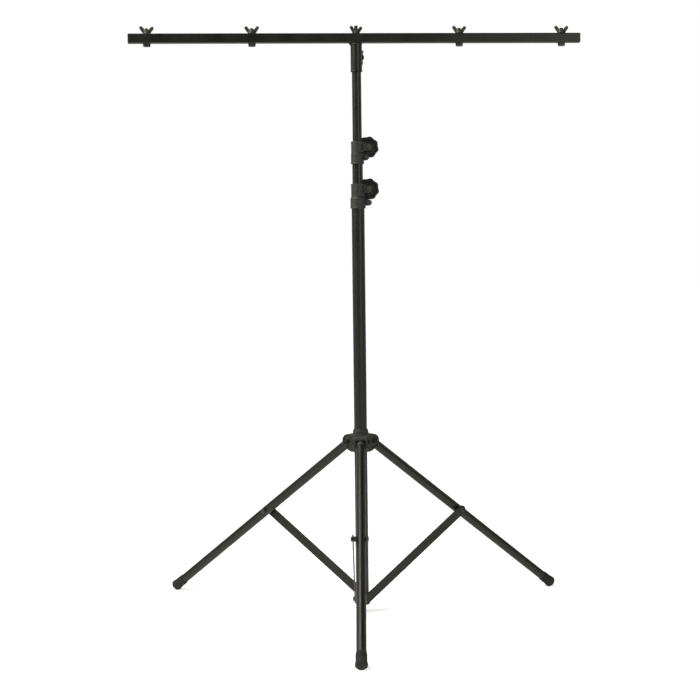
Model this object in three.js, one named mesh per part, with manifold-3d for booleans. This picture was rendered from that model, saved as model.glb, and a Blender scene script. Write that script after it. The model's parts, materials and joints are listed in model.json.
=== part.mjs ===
// A lighting stand: a telescopic mast on a folding tripod, with a square cross bar for lamps on top.
// Millimetres, +Z up, +X along the cross bar, origin on the floor under the mast.

import * as THREE from 'three';
import { mergeVertices } from 'three/addons/utils/BufferGeometryUtils.js';
import Module from 'manifold-3d';

const wasm = await Module();
wasm.setup();

// Shared fits and facets
const runningGap = 0.3;
const overrun = 3;
const tubeSides = 24;
const fittingSides = 20;
const boltSides = 10;
const arcSteps = 4;
const cornerSteps = 2;

// Mast tubes
const lowerTubeDiameter = 35;
const lowerTubeWall = 1.5;
const lowerTubeLength = 1081.6;
const middleTubeDiameter = 28.5;
const middleTubeWall = 1.2;
const upperTubeDiameter = 25;
const upperTubeWall = 1.2;

// How much of the inner tubes shows between the fittings, and how far their feet stay clear of what
// stands in the tube below them, as the stand is set
const middleTubeShowing = 53.4;
const upperTubeShowing = 186.7;
const middleTubeFootRoom = 84;
const upperTubeFootRoom = 295;

// Foot block in the end of the lower tube, with a flat for each strut
const footBlockClearance = 20.6;
const footBlockHeight = 30;
const footFlatStep = 1.2;
const footRoundStep = 3;
const footChamfer = 2;
const footSpigotLength = 30;

// Guide bushes in the lower ends of the sliding tubes, and the plug in the top of the mast
const bushFlangeHeight = 8;
const bushSpigotLength = 20;
const bushBoreShare = 0.75;
const topPlugFlange = 3;
const topPlugDepth = 18;

// Clamp collars: a lower half on the outer tube and an upper half that grips the inner one
const collarLip = 0.8;
const collarLipHeight = 4;
const collarShoulderHeight = 4;
const collarSeatLand = 2.3;
const slitWidth = 3;
const splitHeight = 2;
const earThickness = 7;
const knobOffset = 30.5;
const clampEarRadius = 9;
const clampEarRootHeight = 27;
const fixingEarRootHeight = 20;
const lowerCollarWalls = { lowerWall: 2.6, upperWall: 3.65 };
const lowerCollarHeights = { lowerHalf: 31, upperHalf: 35.4 };
const lowerCollarEar = { boltOffset: 29.4, boltHeight: 15.7, endRadius: 8 };
const lowerKnobHeight = 52.8;
const upperCollarWalls = { lowerWall: 3.05, upperWall: 4.1 };
const upperCollarHeights = { lowerHalf: 30.6, upperHalf: 30 };
const upperCollarEar = { boltOffset: 23.6, boltHeight: 17.7, endRadius: 7.6 };
const upperKnobHeight = 46.2;

// Star knobs
const knobRadius = 28.3;
const knobLobes = 8;
const knobLobeDepth = 3;
const knobThickness = 14;
const knobBevel = 2.5;
const knobBossRadius = 11;
const knobBossHeight = 10.8;
const knobCapRadius = 13;
const knobCapHeight = 1.6;
const knobBoreDepth = 20;
const pointsPerLobe = 6;
const knobTurnDegrees = 15;

// Bolts: radius of the shank, width of the hexagon and height of the head
const m10 = { radius: 5, acrossFlats: 17, headHeight: 6.6, nutHeight: 8 };
const m8 = { radius: 4, acrossFlats: 13, headHeight: 5.3, nutHeight: 6.5 };
const m6 = { radius: 3, acrossFlats: 10, headHeight: 4, nutHeight: 5 };

// Cross bar
const barLength = 1220;
const barSide = 25.4;
const barWall = 1.5;
const barCornerRadius = 2.4;
const lampBolts = 5;
const endBoltInset = 50;
const washerRadius = 10.5;
const washerThickness = 2;
const lampBoltStandout = 14.3;
const centreBoltStandout = 21;
const barCapThickness = 3;
const barCapDepth = 18;

// Wing nuts
const wingNutTurnsDegrees = [18, -5, 30, 11, 6];
const wingNutBaseRadius = 10;
const wingNutNeckRadius = 7.6;
const wingNutBodyHeight = 9;
const wingSpan = 39;
const wingHeight = 19.5;
const wingTipRadius = 3.9;
const wingRootRadius = 4.6;
const wingThickness = 3.6;

// Socket under the bar, and its wing screw
const socketLength = 76.6;
const socketWall = 2.6;
const socketLip = 0.9;
const socketLipHeight = 4;
const socketWeldWidth = 2;
const socketWeldHeight = 4;
const socketGussetWidth = 5.4;
const socketGussetHeight = 7.5;
const socketGussetThickness = 4;
const socketBossRadius = 8;
const socketBossLength = 6;
const socketScrewDrop = 36;
const socketScrewTurnDegrees = 55;
const socketScrewWingTurnDegrees = 20;
const socketScrewNeck = 3;

// Tripod: the legs as they stand under the bar, and how far they fold
const tripodTurnDegrees = -5.3;
const legNames = ['front', 'right', 'left'];
const legDiameter = 25;
const legWall = 1.2;
const legAngleDegrees = 37.3;
const legReach = 760.8;
const legTubeStart = 13.5;

// Boots on the legs
const bootLength = 50;
const bootTopRadius = 14.3;
const bootFlareRadius = 15.7;
const bootEndRadius = 11;
const bootEndChamfer = 5;
const bootFlareLength = 14;
const bootEndThickness = 8;
const bootPress = 0.8;

// Hub that slides on the lower tube, with a forked lug for each leg
const hubWall = 3.55;
const hubSleeveTop = 35.2;
const hubTopChamfer = 7;
const hubTopWall = 0.9;
const hubDrop = 27.3;
const lugReach = 13.5;
const lugRoof = 8.4;
const lugRound = 16.5;
const lugHeel = 12;
const lugEar = 6;
const lugSideClearance = 0.5;
const lugBevel = 1.4;
const legTopClearance = 1.2;
const eyeInset = 1;
const eyeClearance = 1.15;
const eyeRoofClearance = 0.8;
const eyeSpigotLength = 32;
const pivotHeadRadius = 7;
const pivotHeadHeight = 3;

// Knob that locks the hub, behind the mast
const hubKnobRadius = 18;
const hubKnobLobes = 6;
const hubKnobLobeDepth = 2.4;
const hubKnobThickness = 11;
const hubBossRadius = 9;
const hubBossLength = 21;
const hubKnobNeck = 2;

// Struts
const strutWidth = 24;
const strutThickness = 3;
const strutJointReach = 351.5;
const strutFootHeight = 14.4;
const strutHeadRadius = 6.5;
const strutHeadHeight = 4;
const strutSpacerRadius = 7;
const footScrewDepth = 13;

// Worked out from the sizes above
const radians = THREE.MathUtils.degToRad;
const lowerTubeRadius = lowerTubeDiameter / 2;
const middleTubeRadius = middleTubeDiameter / 2;
const upperTubeRadius = upperTubeDiameter / 2;
const legRadius = legDiameter / 2;
const legAngle = radians(legAngleDegrees);
const lowerTubeFoot = footBlockClearance + footBlockHeight + runningGap;
const lowerTubeTop = lowerTubeFoot + lowerTubeLength;
const lowerCollarFoot = lowerTubeTop + collarSeatLand + runningGap - lowerCollarHeights.lowerHalf;
const lowerCollarTop = lowerCollarFoot + lowerCollarHeights.lowerHalf + lowerCollarHeights.upperHalf;
const upperCollarFoot = lowerCollarTop + middleTubeShowing;
const upperCollarTop = upperCollarFoot + upperCollarHeights.lowerHalf + upperCollarHeights.upperHalf;
const middleTubeTop = upperCollarFoot + upperCollarHeights.lowerHalf - collarSeatLand - runningGap;
const socketFoot = upperCollarTop + upperTubeShowing;
const barFoot = socketFoot + socketLength + runningGap;
const barTop = barFoot + barSide;
const boltHeadDrop = runningGap + washerThickness + m10.headHeight;
const upperTubeTop = barFoot - boltHeadDrop - topPlugFlange - 2 * runningGap;
const middleTubeFoot = lowerTubeFoot - runningGap + footSpigotLength + middleTubeFootRoom
  + bushFlangeHeight + runningGap;
const upperTubeFoot = middleTubeFoot - runningGap + bushSpigotLength + upperTubeFootRoom
  + bushFlangeHeight + runningGap;
const middleTubeLength = middleTubeTop - middleTubeFoot;
const upperTubeLength = upperTubeTop - upperTubeFoot;
const lampBoltPitch = (barLength - 2 * endBoltInset) / (lampBolts - 1);
const hubSleeveRadius = lowerTubeRadius + runningGap + hubWall;
const eyeRadius = legRadius - eyeInset;
const pivotRadius = hubSleeveRadius + eyeClearance + eyeRadius;
const bootRimReach = legReach - bootEndChamfer;
const pivotHeight = bootRimReach * Math.sin(legAngle) + bootFlareRadius * Math.cos(legAngle) - bootPress;
const footFlat = lowerTubeRadius + footFlatStep;
const strutInnerFace = footFlat + runningGap;
const strutOuterFace = strutInnerFace + strutThickness;
const strutFoot = new THREE.Vector2(0, footBlockClearance + strutFootHeight);
const strutHead = new THREE.Vector2(
  pivotRadius + strutJointReach * Math.cos(legAngle),
  pivotHeight - strutJointReach * Math.sin(legAngle)
);
const strutLength = strutHead.distanceTo(strutFoot);
const strutAngle = Math.atan2(strutHead.y - strutFoot.y, strutHead.x - strutFoot.x);

// Materials
const paint = { color: 0x26272a, roughness: 0.42, metalness: 0.3 };
const mouldedPlastic = { color: 0x1d1e1f, roughness: 0.55, metalness: 0 };
const knobPlastic = { color: 0x141516, roughness: 0.5, metalness: 0 };
const rubber = { color: 0x19191a, roughness: 0.8, metalness: 0 };
const blackSteel = { color: 0x2c2d2e, roughness: 0.4, metalness: 0.6 };

// Turn a closed geometry into a solid that can be joined and cut
function solidOf(geometry) {
  const bare = geometry.clone();
  bare.deleteAttribute('normal');
  bare.deleteAttribute('uv');
  const merged = mergeVertices(bare);
  const vertProperties = new Float32Array(merged.attributes.position.array);
  const triVerts = new Uint32Array(merged.index.array);
  const solid = new wasm.Manifold(new wasm.Mesh({ numProp: 3, vertProperties, triVerts }));
  if (solid.volume() > 0) {
    return solid;
  }
  const turned = triVerts.slice().reverse();
  return new wasm.Manifold(new wasm.Mesh({ numProp: 3, vertProperties, triVerts: turned }));
}

function geometryOf(solid) {
  const mesh = solid.getMesh();
  const geometry = new THREE.BufferGeometry();
  geometry.setAttribute('position', new THREE.BufferAttribute(new Float32Array(mesh.vertProperties), 3));
  geometry.setIndex(new THREE.BufferAttribute(new Uint32Array(mesh.triVerts), 1));
  geometry.computeVertexNormals();
  return geometry;
}

function join(...geometries) {
  const solids = geometries.map(solidOf);
  return geometryOf(solids.reduce((whole, piece) => whole.add(piece)));
}

function cut(geometry, ...tools) {
  const solids = tools.map(solidOf);
  return geometryOf(solids.reduce((whole, tool) => whole.subtract(tool), solidOf(geometry)));
}

function common(geometry, other) {
  return geometryOf(solidOf(geometry).intersect(solidOf(other)));
}

// A revolved piece on the Z axis, from an outline of radius and height that goes from axis to axis,
// or all the way round when it starts off the axis
function revolved(outline, sides = fittingSides) {
  const points = outline.map(([radius, height]) => new THREE.Vector2(radius, height));
  if (points[0].x > 0) {
    points.push(points[0].clone());
  }
  return new THREE.LatheGeometry(points, sides).rotateX(Math.PI / 2);
}

function tube(radius, bore, foot, top, sides = tubeSides) {
  return revolved([[bore, foot], [radius, foot], [radius, top], [bore, top]], sides);
}

// A round bar on the Z axis, or a prism with few sides
function rod(radius, foot, top, sides = boltSides) {
  const geometry = new THREE.CylinderGeometry(radius, radius, top - foot, sides);
  return geometry.rotateX(Math.PI / 2).translate(0, 0, (foot + top) / 2);
}

function hexagon(acrossFlats, foot, top) {
  return rod(acrossFlats / Math.sqrt(3), foot, top, 6);
}

function block(x0, x1, y0, y1, z0, z1) {
  return new THREE.BoxGeometry(x1 - x0, y1 - y0, z1 - z0)
    .translate((x0 + x1) / 2, (y0 + y1) / 2, (z0 + z1) / 2);
}

// A plate drawn in X and Z, with its thickness centred on Y
function uprightPlate(shape, thickness, bevel = 0) {
  const options = {
    depth: thickness - 2 * bevel,
    bevelEnabled: bevel > 0,
    bevelThickness: bevel,
    bevelSize: bevel,
    bevelOffset: -bevel,
    bevelSegments: 1,
    curveSegments: arcSteps,
  };
  return new THREE.ExtrudeGeometry(shape, options)
    .translate(0, 0, bevel - thickness / 2)
    .rotateX(Math.PI / 2);
}

// Turn a piece made on the Z axis so that it lies along +X or +Y
const alongX = (geometry) => geometry.rotateY(Math.PI / 2);
const alongY = (geometry) => geometry.rotateX(-Math.PI / 2);

const stand = new THREE.Group();

function addPart(parent, name, geometry, finish) {
  const mesh = new THREE.Mesh(geometry, new THREE.MeshStandardMaterial(finish));
  mesh.name = name;
  parent.add(mesh);
  return mesh;
}

function addGroup(parent, x = 0, y = 0, z = 0, turn = 0) {
  const group = new THREE.Group();
  group.position.set(x, y, z);
  group.rotation.z = turn;
  parent.add(group);
  return group;
}

// Mast

function footBlock() {
  const radius = lowerTubeRadius + footRoundStep;
  const bore = lowerTubeRadius - lowerTubeWall - runningGap;
  const foot = footBlockClearance;
  const top = foot + footBlockHeight;
  const body = revolved([
    [0, foot],
    [radius - footChamfer, foot],
    [radius, foot + footChamfer],
    [radius, top - footChamfer],
    [radius - footChamfer, top],
    [bore, top],
    [bore, top + footSpigotLength],
    [0, top + footSpigotLength],
  ]);
  const tools = [];
  for (let leg = 0; leg < legNames.length; leg += 1) {
    const turn = legTurn(leg);
    const flat = block(-radius, radius, -radius - overrun, -footFlat, foot - overrun, top + runningGap);
    const hole = alongY(rod(m6.radius + runningGap, -footFlat - overrun, -footFlat + footScrewDepth));
    hole.translate(strutFoot.x, 0, strutFoot.y);
    tools.push(flat.rotateZ(turn), hole.rotateZ(turn));
  }
  return cut(body, ...tools);
}

function guideBush(tubeRadius, tubeWall, guideRadius) {
  const spigot = tubeRadius - tubeWall - runningGap;
  const bore = spigot * bushBoreShare;
  const flange = guideRadius - runningGap;
  return revolved([
    [bore, -bushFlangeHeight],
    [flange, -bushFlangeHeight],
    [flange, 0],
    [spigot, 0],
    [spigot, bushSpigotLength],
    [bore, bushSpigotLength],
  ]);
}

function topPlug() {
  const spigot = upperTubeRadius - upperTubeWall - runningGap;
  return revolved([
    [0, -topPlugDepth],
    [spigot, -topPlugDepth],
    [spigot, runningGap],
    [upperTubeRadius, runningGap],
    [upperTubeRadius, topPlugFlange + runningGap],
    [0, topPlugFlange + runningGap],
  ]);
}

// An ear drawn in X and Z: a root at the collar that tapers to a round end about its bolt
function earShape(boltOffset, boltHeight, endRadius, rootHeight) {
  const shape = new THREE.Shape();
  shape.moveTo(0, boltHeight - rootHeight / 2);
  shape.lineTo(boltOffset, boltHeight - endRadius);
  shape.absarc(boltOffset, boltHeight, endRadius, -Math.PI / 2, Math.PI / 2, false);
  shape.lineTo(0, boltHeight + rootHeight / 2);
  return shape;
}

function clampCollar(outerTubeRadius, innerTubeRadius, walls, heights, ear, knobHeight) {
  const lowerBore = outerTubeRadius + runningGap;
  const upperBore = innerTubeRadius + runningGap;
  const lowerRadius = lowerBore + walls.lowerWall;
  const upperRadius = upperBore + walls.upperWall;
  const split = heights.lowerHalf;
  const top = heights.lowerHalf + heights.upperHalf;
  const seat = split - collarSeatLand;
  const shell = revolved([
    [upperBore, 0],
    [lowerRadius, 0],
    [lowerRadius + collarLip, collarLipHeight / 2],
    [lowerRadius, collarLipHeight],
    [lowerRadius, split - collarShoulderHeight],
    [upperRadius, split],
    [upperRadius, top - collarLipHeight],
    [upperRadius + collarLip, top - collarLipHeight / 2],
    [upperRadius, top],
    [upperBore, top],
  ]);
  const earWidth = slitWidth + 2 * earThickness;
  const clampEar = earShape(knobOffset, knobHeight, clampEarRadius, clampEarRootHeight);
  const fixingEar = earShape(ear.boltOffset, ear.boltHeight, ear.endRadius, fixingEarRootHeight);
  const body = join(shell, uprightPlate(clampEar, earWidth), uprightPlate(fixingEar, earWidth));
  const far = Math.max(knobOffset + clampEarRadius, ear.boltOffset + ear.endRadius) + overrun;
  return cut(
    body,
    rod(upperBore, -overrun, top + overrun, fittingSides),
    rod(lowerBore, -overrun, seat, fittingSides),
    block(0, far, -slitWidth / 2, slitWidth / 2, -overrun, top + overrun),
    block(0, far, -far, far, split - splitHeight / 2, split + splitHeight / 2),
    alongY(rod(m8.radius + runningGap, -far, far)).translate(knobOffset, 0, knobHeight),
    alongY(rod(m6.radius + runningGap, -far, far)).translate(ear.boltOffset, 0, ear.boltHeight)
  );
}

const earFace = slitWidth / 2 + earThickness + runningGap;

// A bolt through the ears, head on the near side and nut on the far side, as one tightened piece
function fixingBolt() {
  const head = hexagon(m6.acrossFlats, -earFace - m6.headHeight, -earFace);
  const nut = hexagon(m6.acrossFlats, earFace, earFace + m6.nutHeight);
  const end = earFace + m6.nutHeight + m6.radius / 2;
  return alongY(join(head, nut, rod(m6.radius, -earFace - m6.headHeight / 2, end)));
}

function clampBolt() {
  const head = hexagon(m8.acrossFlats, -earFace - m8.headHeight, -earFace);
  const end = earFace + knobBoreDepth - runningGap;
  return alongY(join(head, rod(m8.radius, -earFace - m8.headHeight / 2, end)));
}

function lobedDisc(radius, lobes, depth, thickness, bevel) {
  const shape = new THREE.Shape();
  const count = lobes * pointsPerLobe;
  for (let i = 0; i < count; i += 1) {
    const angle = (2 * Math.PI * i) / count;
    const r = radius - (depth / 2) * (1 - Math.cos(lobes * angle));
    const point = [r * Math.cos(angle), r * Math.sin(angle)];
    if (i === 0) {
      shape.moveTo(...point);
    } else {
      shape.lineTo(...point);
    }
  }
  const options = {
    depth: thickness - 2 * bevel,
    bevelThickness: bevel,
    bevelSize: bevel,
    bevelOffset: -bevel,
    bevelSegments: 1,
  };
  return new THREE.ExtrudeGeometry(shape, options).translate(0, 0, bevel);
}

// A star knob on the Z axis, its boss at zero towards the collar, with a blind bore for the bolt
function starKnob() {
  const disc = lobedDisc(knobRadius, knobLobes, knobLobeDepth, knobThickness, knobBevel);
  disc.translate(0, 0, knobBossHeight);
  const back = knobBossHeight + knobThickness;
  const boss = rod(knobBossRadius, 0, back / 2, fittingSides);
  const cap = rod(knobCapRadius, back / 2, back + knobCapHeight, fittingSides);
  return cut(join(disc, boss, cap), rod(m8.radius + runningGap, -overrun, knobBoreDepth));
}

function addClamp(parent, height, label, collar, ear, knobHeight) {
  const place = addGroup(parent, 0, 0, height);
  addPart(place, `${label}_clamp_collar`, collar, mouldedPlastic);
  addPart(place, `${label}_collar_bolt`, fixingBolt().translate(ear.boltOffset, 0, ear.boltHeight), blackSteel);
  addPart(place, `${label}_clamp_bolt`, clampBolt().translate(knobOffset, 0, knobHeight), blackSteel);
  const knob = starKnob().rotateZ(radians(knobTurnDegrees));
  addPart(place, `${label}_knob`, alongY(knob).translate(knobOffset, earFace, knobHeight), knobPlastic);
}

function addMast() {
  const lowerBore = lowerTubeRadius - lowerTubeWall;
  const middleBore = middleTubeRadius - middleTubeWall;
  const upperBore = upperTubeRadius - upperTubeWall;
  addPart(stand, 'lower_tube', tube(lowerTubeRadius, lowerBore, lowerTubeFoot, lowerTubeTop), paint);
  addPart(stand, 'foot_block', footBlock(), mouldedPlastic);

  const middle = addGroup(stand, 0, 0, middleTubeFoot);
  addPart(middle, 'middle_tube', tube(middleTubeRadius, middleBore, 0, middleTubeLength), paint);
  const middleBush = guideBush(middleTubeRadius, middleTubeWall, lowerBore);
  addPart(middle, 'middle_tube_bush', middleBush.translate(0, 0, -runningGap), mouldedPlastic);

  const upper = addGroup(stand, 0, 0, upperTubeFoot);
  addPart(upper, 'upper_tube', tube(upperTubeRadius, upperBore, 0, upperTubeLength), paint);
  const upperBush = guideBush(upperTubeRadius, upperTubeWall, middleBore);
  addPart(upper, 'upper_tube_bush', upperBush.translate(0, 0, -runningGap), mouldedPlastic);
  addPart(upper, 'upper_tube_plug', topPlug().translate(0, 0, upperTubeLength), mouldedPlastic);

  const lowerCollar = clampCollar(lowerTubeRadius, middleTubeRadius, lowerCollarWalls,
    lowerCollarHeights, lowerCollarEar, lowerKnobHeight);
  addClamp(stand, lowerCollarFoot, 'lower', lowerCollar, lowerCollarEar, lowerKnobHeight);
  const upperCollar = clampCollar(middleTubeRadius, upperTubeRadius, upperCollarWalls,
    upperCollarHeights, upperCollarEar, upperKnobHeight);
  addClamp(stand, upperCollarFoot, 'upper', upperCollar, upperCollarEar, upperKnobHeight);
}

// Cross bar

// A square with rounded corners, drawn about its centre
function roundedSquare(side, radius) {
  const half = side / 2;
  const inner = half - radius;
  const shape = new THREE.Shape();
  shape.moveTo(half, -inner);
  shape.absarc(inner, inner, radius, 0, Math.PI / 2, false);
  shape.absarc(-inner, inner, radius, Math.PI / 2, Math.PI, false);
  shape.absarc(-inner, -inner, radius, Math.PI, Math.PI * 1.5, false);
  shape.absarc(inner, -inner, radius, Math.PI * 1.5, Math.PI * 2, false);
  return shape;
}

function squareRod(side, radius, length) {
  const options = { depth: length, bevelEnabled: false, curveSegments: cornerSteps };
  return new THREE.ExtrudeGeometry(roundedSquare(side, radius), options);
}

const lampBoltPlaces = Array.from(
  { length: lampBolts },
  (_, i) => (i - (lampBolts - 1) / 2) * lampBoltPitch
);

function crossBar() {
  const length = barLength - 2 * (barCapThickness + runningGap);
  const innerSide = barSide - 2 * barWall;
  const innerRadius = barCornerRadius - barWall;
  const outer = squareRod(barSide, barCornerRadius, length);
  const inner = squareRod(innerSide, innerRadius, length + 2 * overrun).translate(0, 0, -overrun);
  const bar = alongX(cut(outer, inner)).translate(-length / 2, 0, 0);
  const holes = lampBoltPlaces.map((x) =>
    rod(m10.radius + runningGap, -barSide / 2 - overrun, barSide / 2 + overrun).translate(x, 0, 0)
  );
  return cut(bar, ...holes);
}

function barCap() {
  const plugSide = barSide - 2 * (barWall + runningGap);
  const plate = squareRod(barSide, barCornerRadius, barCapThickness);
  const plug = squareRod(plugSide, barCornerRadius - barWall, barCapDepth);
  return join(plate, plug.translate(0, 0, barCapThickness / 2 - barCapDepth));
}

// A bolt on the Z axis, its washer's upper face at zero and its shank standing up by its length
function lampBolt(length) {
  const head = hexagon(m10.acrossFlats, -washerThickness - m10.headHeight, -washerThickness / 2);
  const washer = rod(washerRadius, -washerThickness, 0, fittingSides);
  return join(head, washer, rod(m10.radius, -washerThickness, length));
}

// The two wings and the cone of a wing nut, without its bore, standing on zero
function wingHead() {
  const cone = revolved([
    [0, 0],
    [wingNutBaseRadius, 0],
    [wingNutBaseRadius, wingNutBodyHeight / 4],
    [wingNutNeckRadius, wingNutBodyHeight],
    [0, wingNutBodyHeight],
  ], fittingSides / 2);
  const tip = new THREE.Vector2(wingSpan / 2 - wingTipRadius, wingHeight - wingTipRadius);
  const root = new THREE.Vector2(wingNutNeckRadius, wingNutBodyHeight / 2);
  const lean = tip.clone().sub(root).angle();
  const shape = new THREE.Shape();
  shape.absarc(tip.x, tip.y, wingTipRadius, lean - Math.PI / 2, lean + Math.PI / 2, false);
  shape.absarc(root.x, root.y, wingRootRadius, lean + Math.PI / 2, lean + Math.PI * 1.5, false);
  const wing = uprightPlate(shape, wingThickness);
  const other = wing.clone().rotateZ(Math.PI);
  const floor = block(-wingSpan, wingSpan, -wingSpan, wingSpan, -wingSpan, 0);
  return cut(join(cone, wing, other), floor);
}

function wingNut() {
  return cut(wingHead(), rod(m10.radius + runningGap, -overrun, wingHeight));
}

function socket() {
  const bore = upperTubeRadius + runningGap;
  const radius = bore + socketWall;
  const sleeve = revolved([
    [bore, 0],
    [radius + socketLip, 0],
    [radius + socketLip, socketLipHeight / 2],
    [radius, socketLipHeight],
    [radius, socketLength - socketWeldHeight],
    [radius + socketWeldWidth, socketLength],
    [bore, socketLength],
  ]);
  const boss = alongX(rod(socketBossRadius, bore, radius + socketBossLength, fittingSides / 2));
  const hole = alongX(rod(m8.radius + runningGap, 0, radius + socketBossLength + overrun));
  const screwHeight = socketLength - socketScrewDrop;
  const turn = radians(socketScrewTurnDegrees);
  boss.translate(0, 0, screwHeight).rotateZ(turn);
  hole.translate(0, 0, screwHeight).rotateZ(turn);
  const web = new THREE.Shape();
  web.moveTo(-bore, socketLength);
  web.lineTo(-radius - socketGussetWidth, socketLength);
  web.lineTo(-radius, socketLength - socketGussetHeight);
  web.lineTo(-bore, socketLength - socketGussetHeight);
  const body = join(sleeve, boss, uprightPlate(web, socketGussetThickness));
  return cut(body, rod(bore, -overrun, socketLength + overrun, fittingSides), hole);
}

// The wing screw of the socket, along X, with its point just clear of the tube
function socketScrew() {
  const point = upperTubeRadius + runningGap;
  const seat = point + socketWall + socketBossLength + socketScrewNeck;
  const head = wingHead().rotateZ(radians(socketScrewWingTurnDegrees)).translate(0, 0, seat);
  const neck = rod(m8.radius, point, seat + wingNutBodyHeight / 2);
  return alongX(join(head, neck));
}

function addCrossBar() {
  const bar = addGroup(stand, 0, 0, barFoot + barSide / 2);
  addPart(bar, 'cross_bar', crossBar(), paint);
  const capFace = barLength / 2 - barCapThickness;
  addPart(bar, 'bar_cap_right', alongX(barCap()).translate(capFace, 0, 0), mouldedPlastic);
  addPart(bar, 'bar_cap_left', alongX(barCap()).translate(capFace, 0, 0).rotateZ(Math.PI), mouldedPlastic);

  const socketPlace = addGroup(stand, 0, 0, socketFoot);
  addPart(socketPlace, 'bar_socket', socket(), paint);
  const screwPlace = addGroup(socketPlace, 0, 0, socketLength - socketScrewDrop, radians(socketScrewTurnDegrees));
  addPart(screwPlace, 'socket_screw', socketScrew(), blackSteel);

  const centre = (lampBolts - 1) / 2;
  lampBoltPlaces.forEach((x, i) => {
    const standout = i === centre ? centreBoltStandout : lampBoltStandout;
    const length = runningGap + barSide + standout;
    const bolt = addGroup(stand, x, 0, barFoot - runningGap);
    addPart(bolt, `bar_bolt_${i + 1}`, lampBolt(length), blackSteel);
    const turn = radians(wingNutTurnsDegrees[i % wingNutTurnsDegrees.length]);
    const nut = addGroup(stand, x, 0, barTop + runningGap, turn);
    addPart(nut, `wing_nut_${i + 1}`, wingNut(), blackSteel);
  });
}

// Tripod. Each leg's group has +X away from the mast and +Y to its left.

function legTurn(leg) {
  return radians(tripodTurnDegrees - 90) + (2 * Math.PI * leg) / legNames.length;
}

// The side view of a lug, from the mast to its rounded end, with the pivot at height zero
function lugShape() {
  const end = pivotRadius + lugReach;
  const top = eyeRadius + eyeRoofClearance + lugRoof;
  const shape = new THREE.Shape();
  shape.moveTo(0, -hubDrop);
  shape.lineTo(hubSleeveRadius, -hubDrop);
  shape.lineTo(end, -lugHeel);
  shape.absarc(end - lugRound, top - lugRound, lugRound, 0, Math.PI / 2, false);
  shape.lineTo(0, top);
  return shape;
}

// The space that the leg and its eye need between the ears: square over the eye, then along the leg
function lugSlotShape() {
  const ceiling = eyeRadius + eyeRoofClearance;
  const legTop = (legRadius + legTopClearance) / Math.cos(legAngle);
  const bend = pivotRadius + (legTop - ceiling) / Math.tan(legAngle);
  const far = pivotRadius + lugReach + overrun;
  const shape = new THREE.Shape();
  shape.moveTo(hubSleeveRadius, -hubDrop - overrun);
  shape.lineTo(far, -hubDrop - overrun);
  shape.lineTo(far, legTop - (far - pivotRadius) * Math.tan(legAngle));
  shape.lineTo(bend, ceiling);
  shape.lineTo(hubSleeveRadius, ceiling);
  return shape;
}

const lugSlotWidth = legDiameter + 2 * lugSideClearance;
const lugWidth = lugSlotWidth + 2 * lugEar;
const hubKnobTurn = legTurn(1) + Math.PI / legNames.length;

function hub() {
  const bore = lowerTubeRadius + runningGap;
  const sleeve = revolved([
    [bore, -hubDrop],
    [hubSleeveRadius, -hubDrop],
    [hubSleeveRadius, hubSleeveTop - hubTopChamfer],
    [bore + hubTopWall, hubSleeveTop],
    [bore, hubSleeveTop],
  ]);
  const boss = alongX(rod(hubBossRadius, bore, hubSleeveRadius + hubBossLength, fittingSides / 2));
  const pieces = [sleeve, boss.rotateZ(hubKnobTurn)];
  const tools = [rod(bore, -hubDrop - overrun, hubSleeveTop + overrun, fittingSides)];
  tools.push(alongX(rod(m8.radius + runningGap, 0, hubSleeveRadius + hubBossLength + overrun))
    .rotateZ(hubKnobTurn));
  for (let leg = 0; leg < legNames.length; leg += 1) {
    const turn = legTurn(leg);
    pieces.push(uprightPlate(lugShape(), lugWidth, lugBevel).rotateZ(turn));
    tools.push(uprightPlate(lugSlotShape(), lugSlotWidth).rotateZ(turn));
    const hole = alongY(rod(m8.radius + runningGap, -lugWidth, lugWidth));
    tools.push(hole.translate(pivotRadius, 0, 0).rotateZ(turn));
  }
  return cut(join(...pieces), ...tools);
}

function hubKnob() {
  const seat = hubSleeveRadius + hubBossLength + hubKnobNeck;
  const disc = lobedDisc(hubKnobRadius, hubKnobLobes, hubKnobLobeDepth, hubKnobThickness, knobBevel);
  const stud = rod(m8.radius, lowerTubeRadius + runningGap, seat + hubKnobThickness / 2);
  return alongX(join(disc.translate(0, 0, seat), stud));
}

// The bolt through a lug's ears and the leg's eye: round head to the right, nut to the left
function legPivotBolt() {
  const face = lugWidth / 2 + runningGap;
  const head = revolved([
    [0, -face - pivotHeadHeight],
    [pivotHeadRadius - pivotHeadHeight / 2, -face - pivotHeadHeight],
    [pivotHeadRadius, -face - pivotHeadHeight / 2],
    [pivotHeadRadius, -face],
    [0, -face],
  ], boltSides);
  const nut = hexagon(m8.acrossFlats, face, face + m8.nutHeight);
  const end = face + m8.nutHeight + m8.radius / 4;
  return alongY(join(head, nut, rod(m8.radius, -face - pivotHeadHeight / 2, end)));
}

// The moulded eye in the top of a leg, along X with the pivot at the origin
function legEye() {
  const neckEnd = legTubeStart - runningGap;
  const spigotEnd = neckEnd + eyeSpigotLength;
  const spigotRadius = legRadius - legWall - runningGap;
  const barrel = alongX(rod(legRadius, -legRadius, neckEnd, tubeSides));
  const side = new THREE.Shape();
  side.moveTo(neckEnd + overrun, -eyeRadius);
  side.lineTo(neckEnd + overrun, eyeRadius);
  side.absarc(0, 0, eyeRadius, Math.PI / 2, Math.PI * 1.5, false);
  const neck = common(barrel, uprightPlate(side, legDiameter + overrun));
  const spigot = alongX(rod(spigotRadius, 0, spigotEnd, tubeSides));
  const hole = alongY(rod(m8.radius + runningGap, -legDiameter, legDiameter));
  const trimmed = common(spigot, block(neckEnd - overrun, spigotEnd, -legRadius, legRadius, -legRadius, legRadius));
  return cut(join(neck, trimmed), hole);
}

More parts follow.
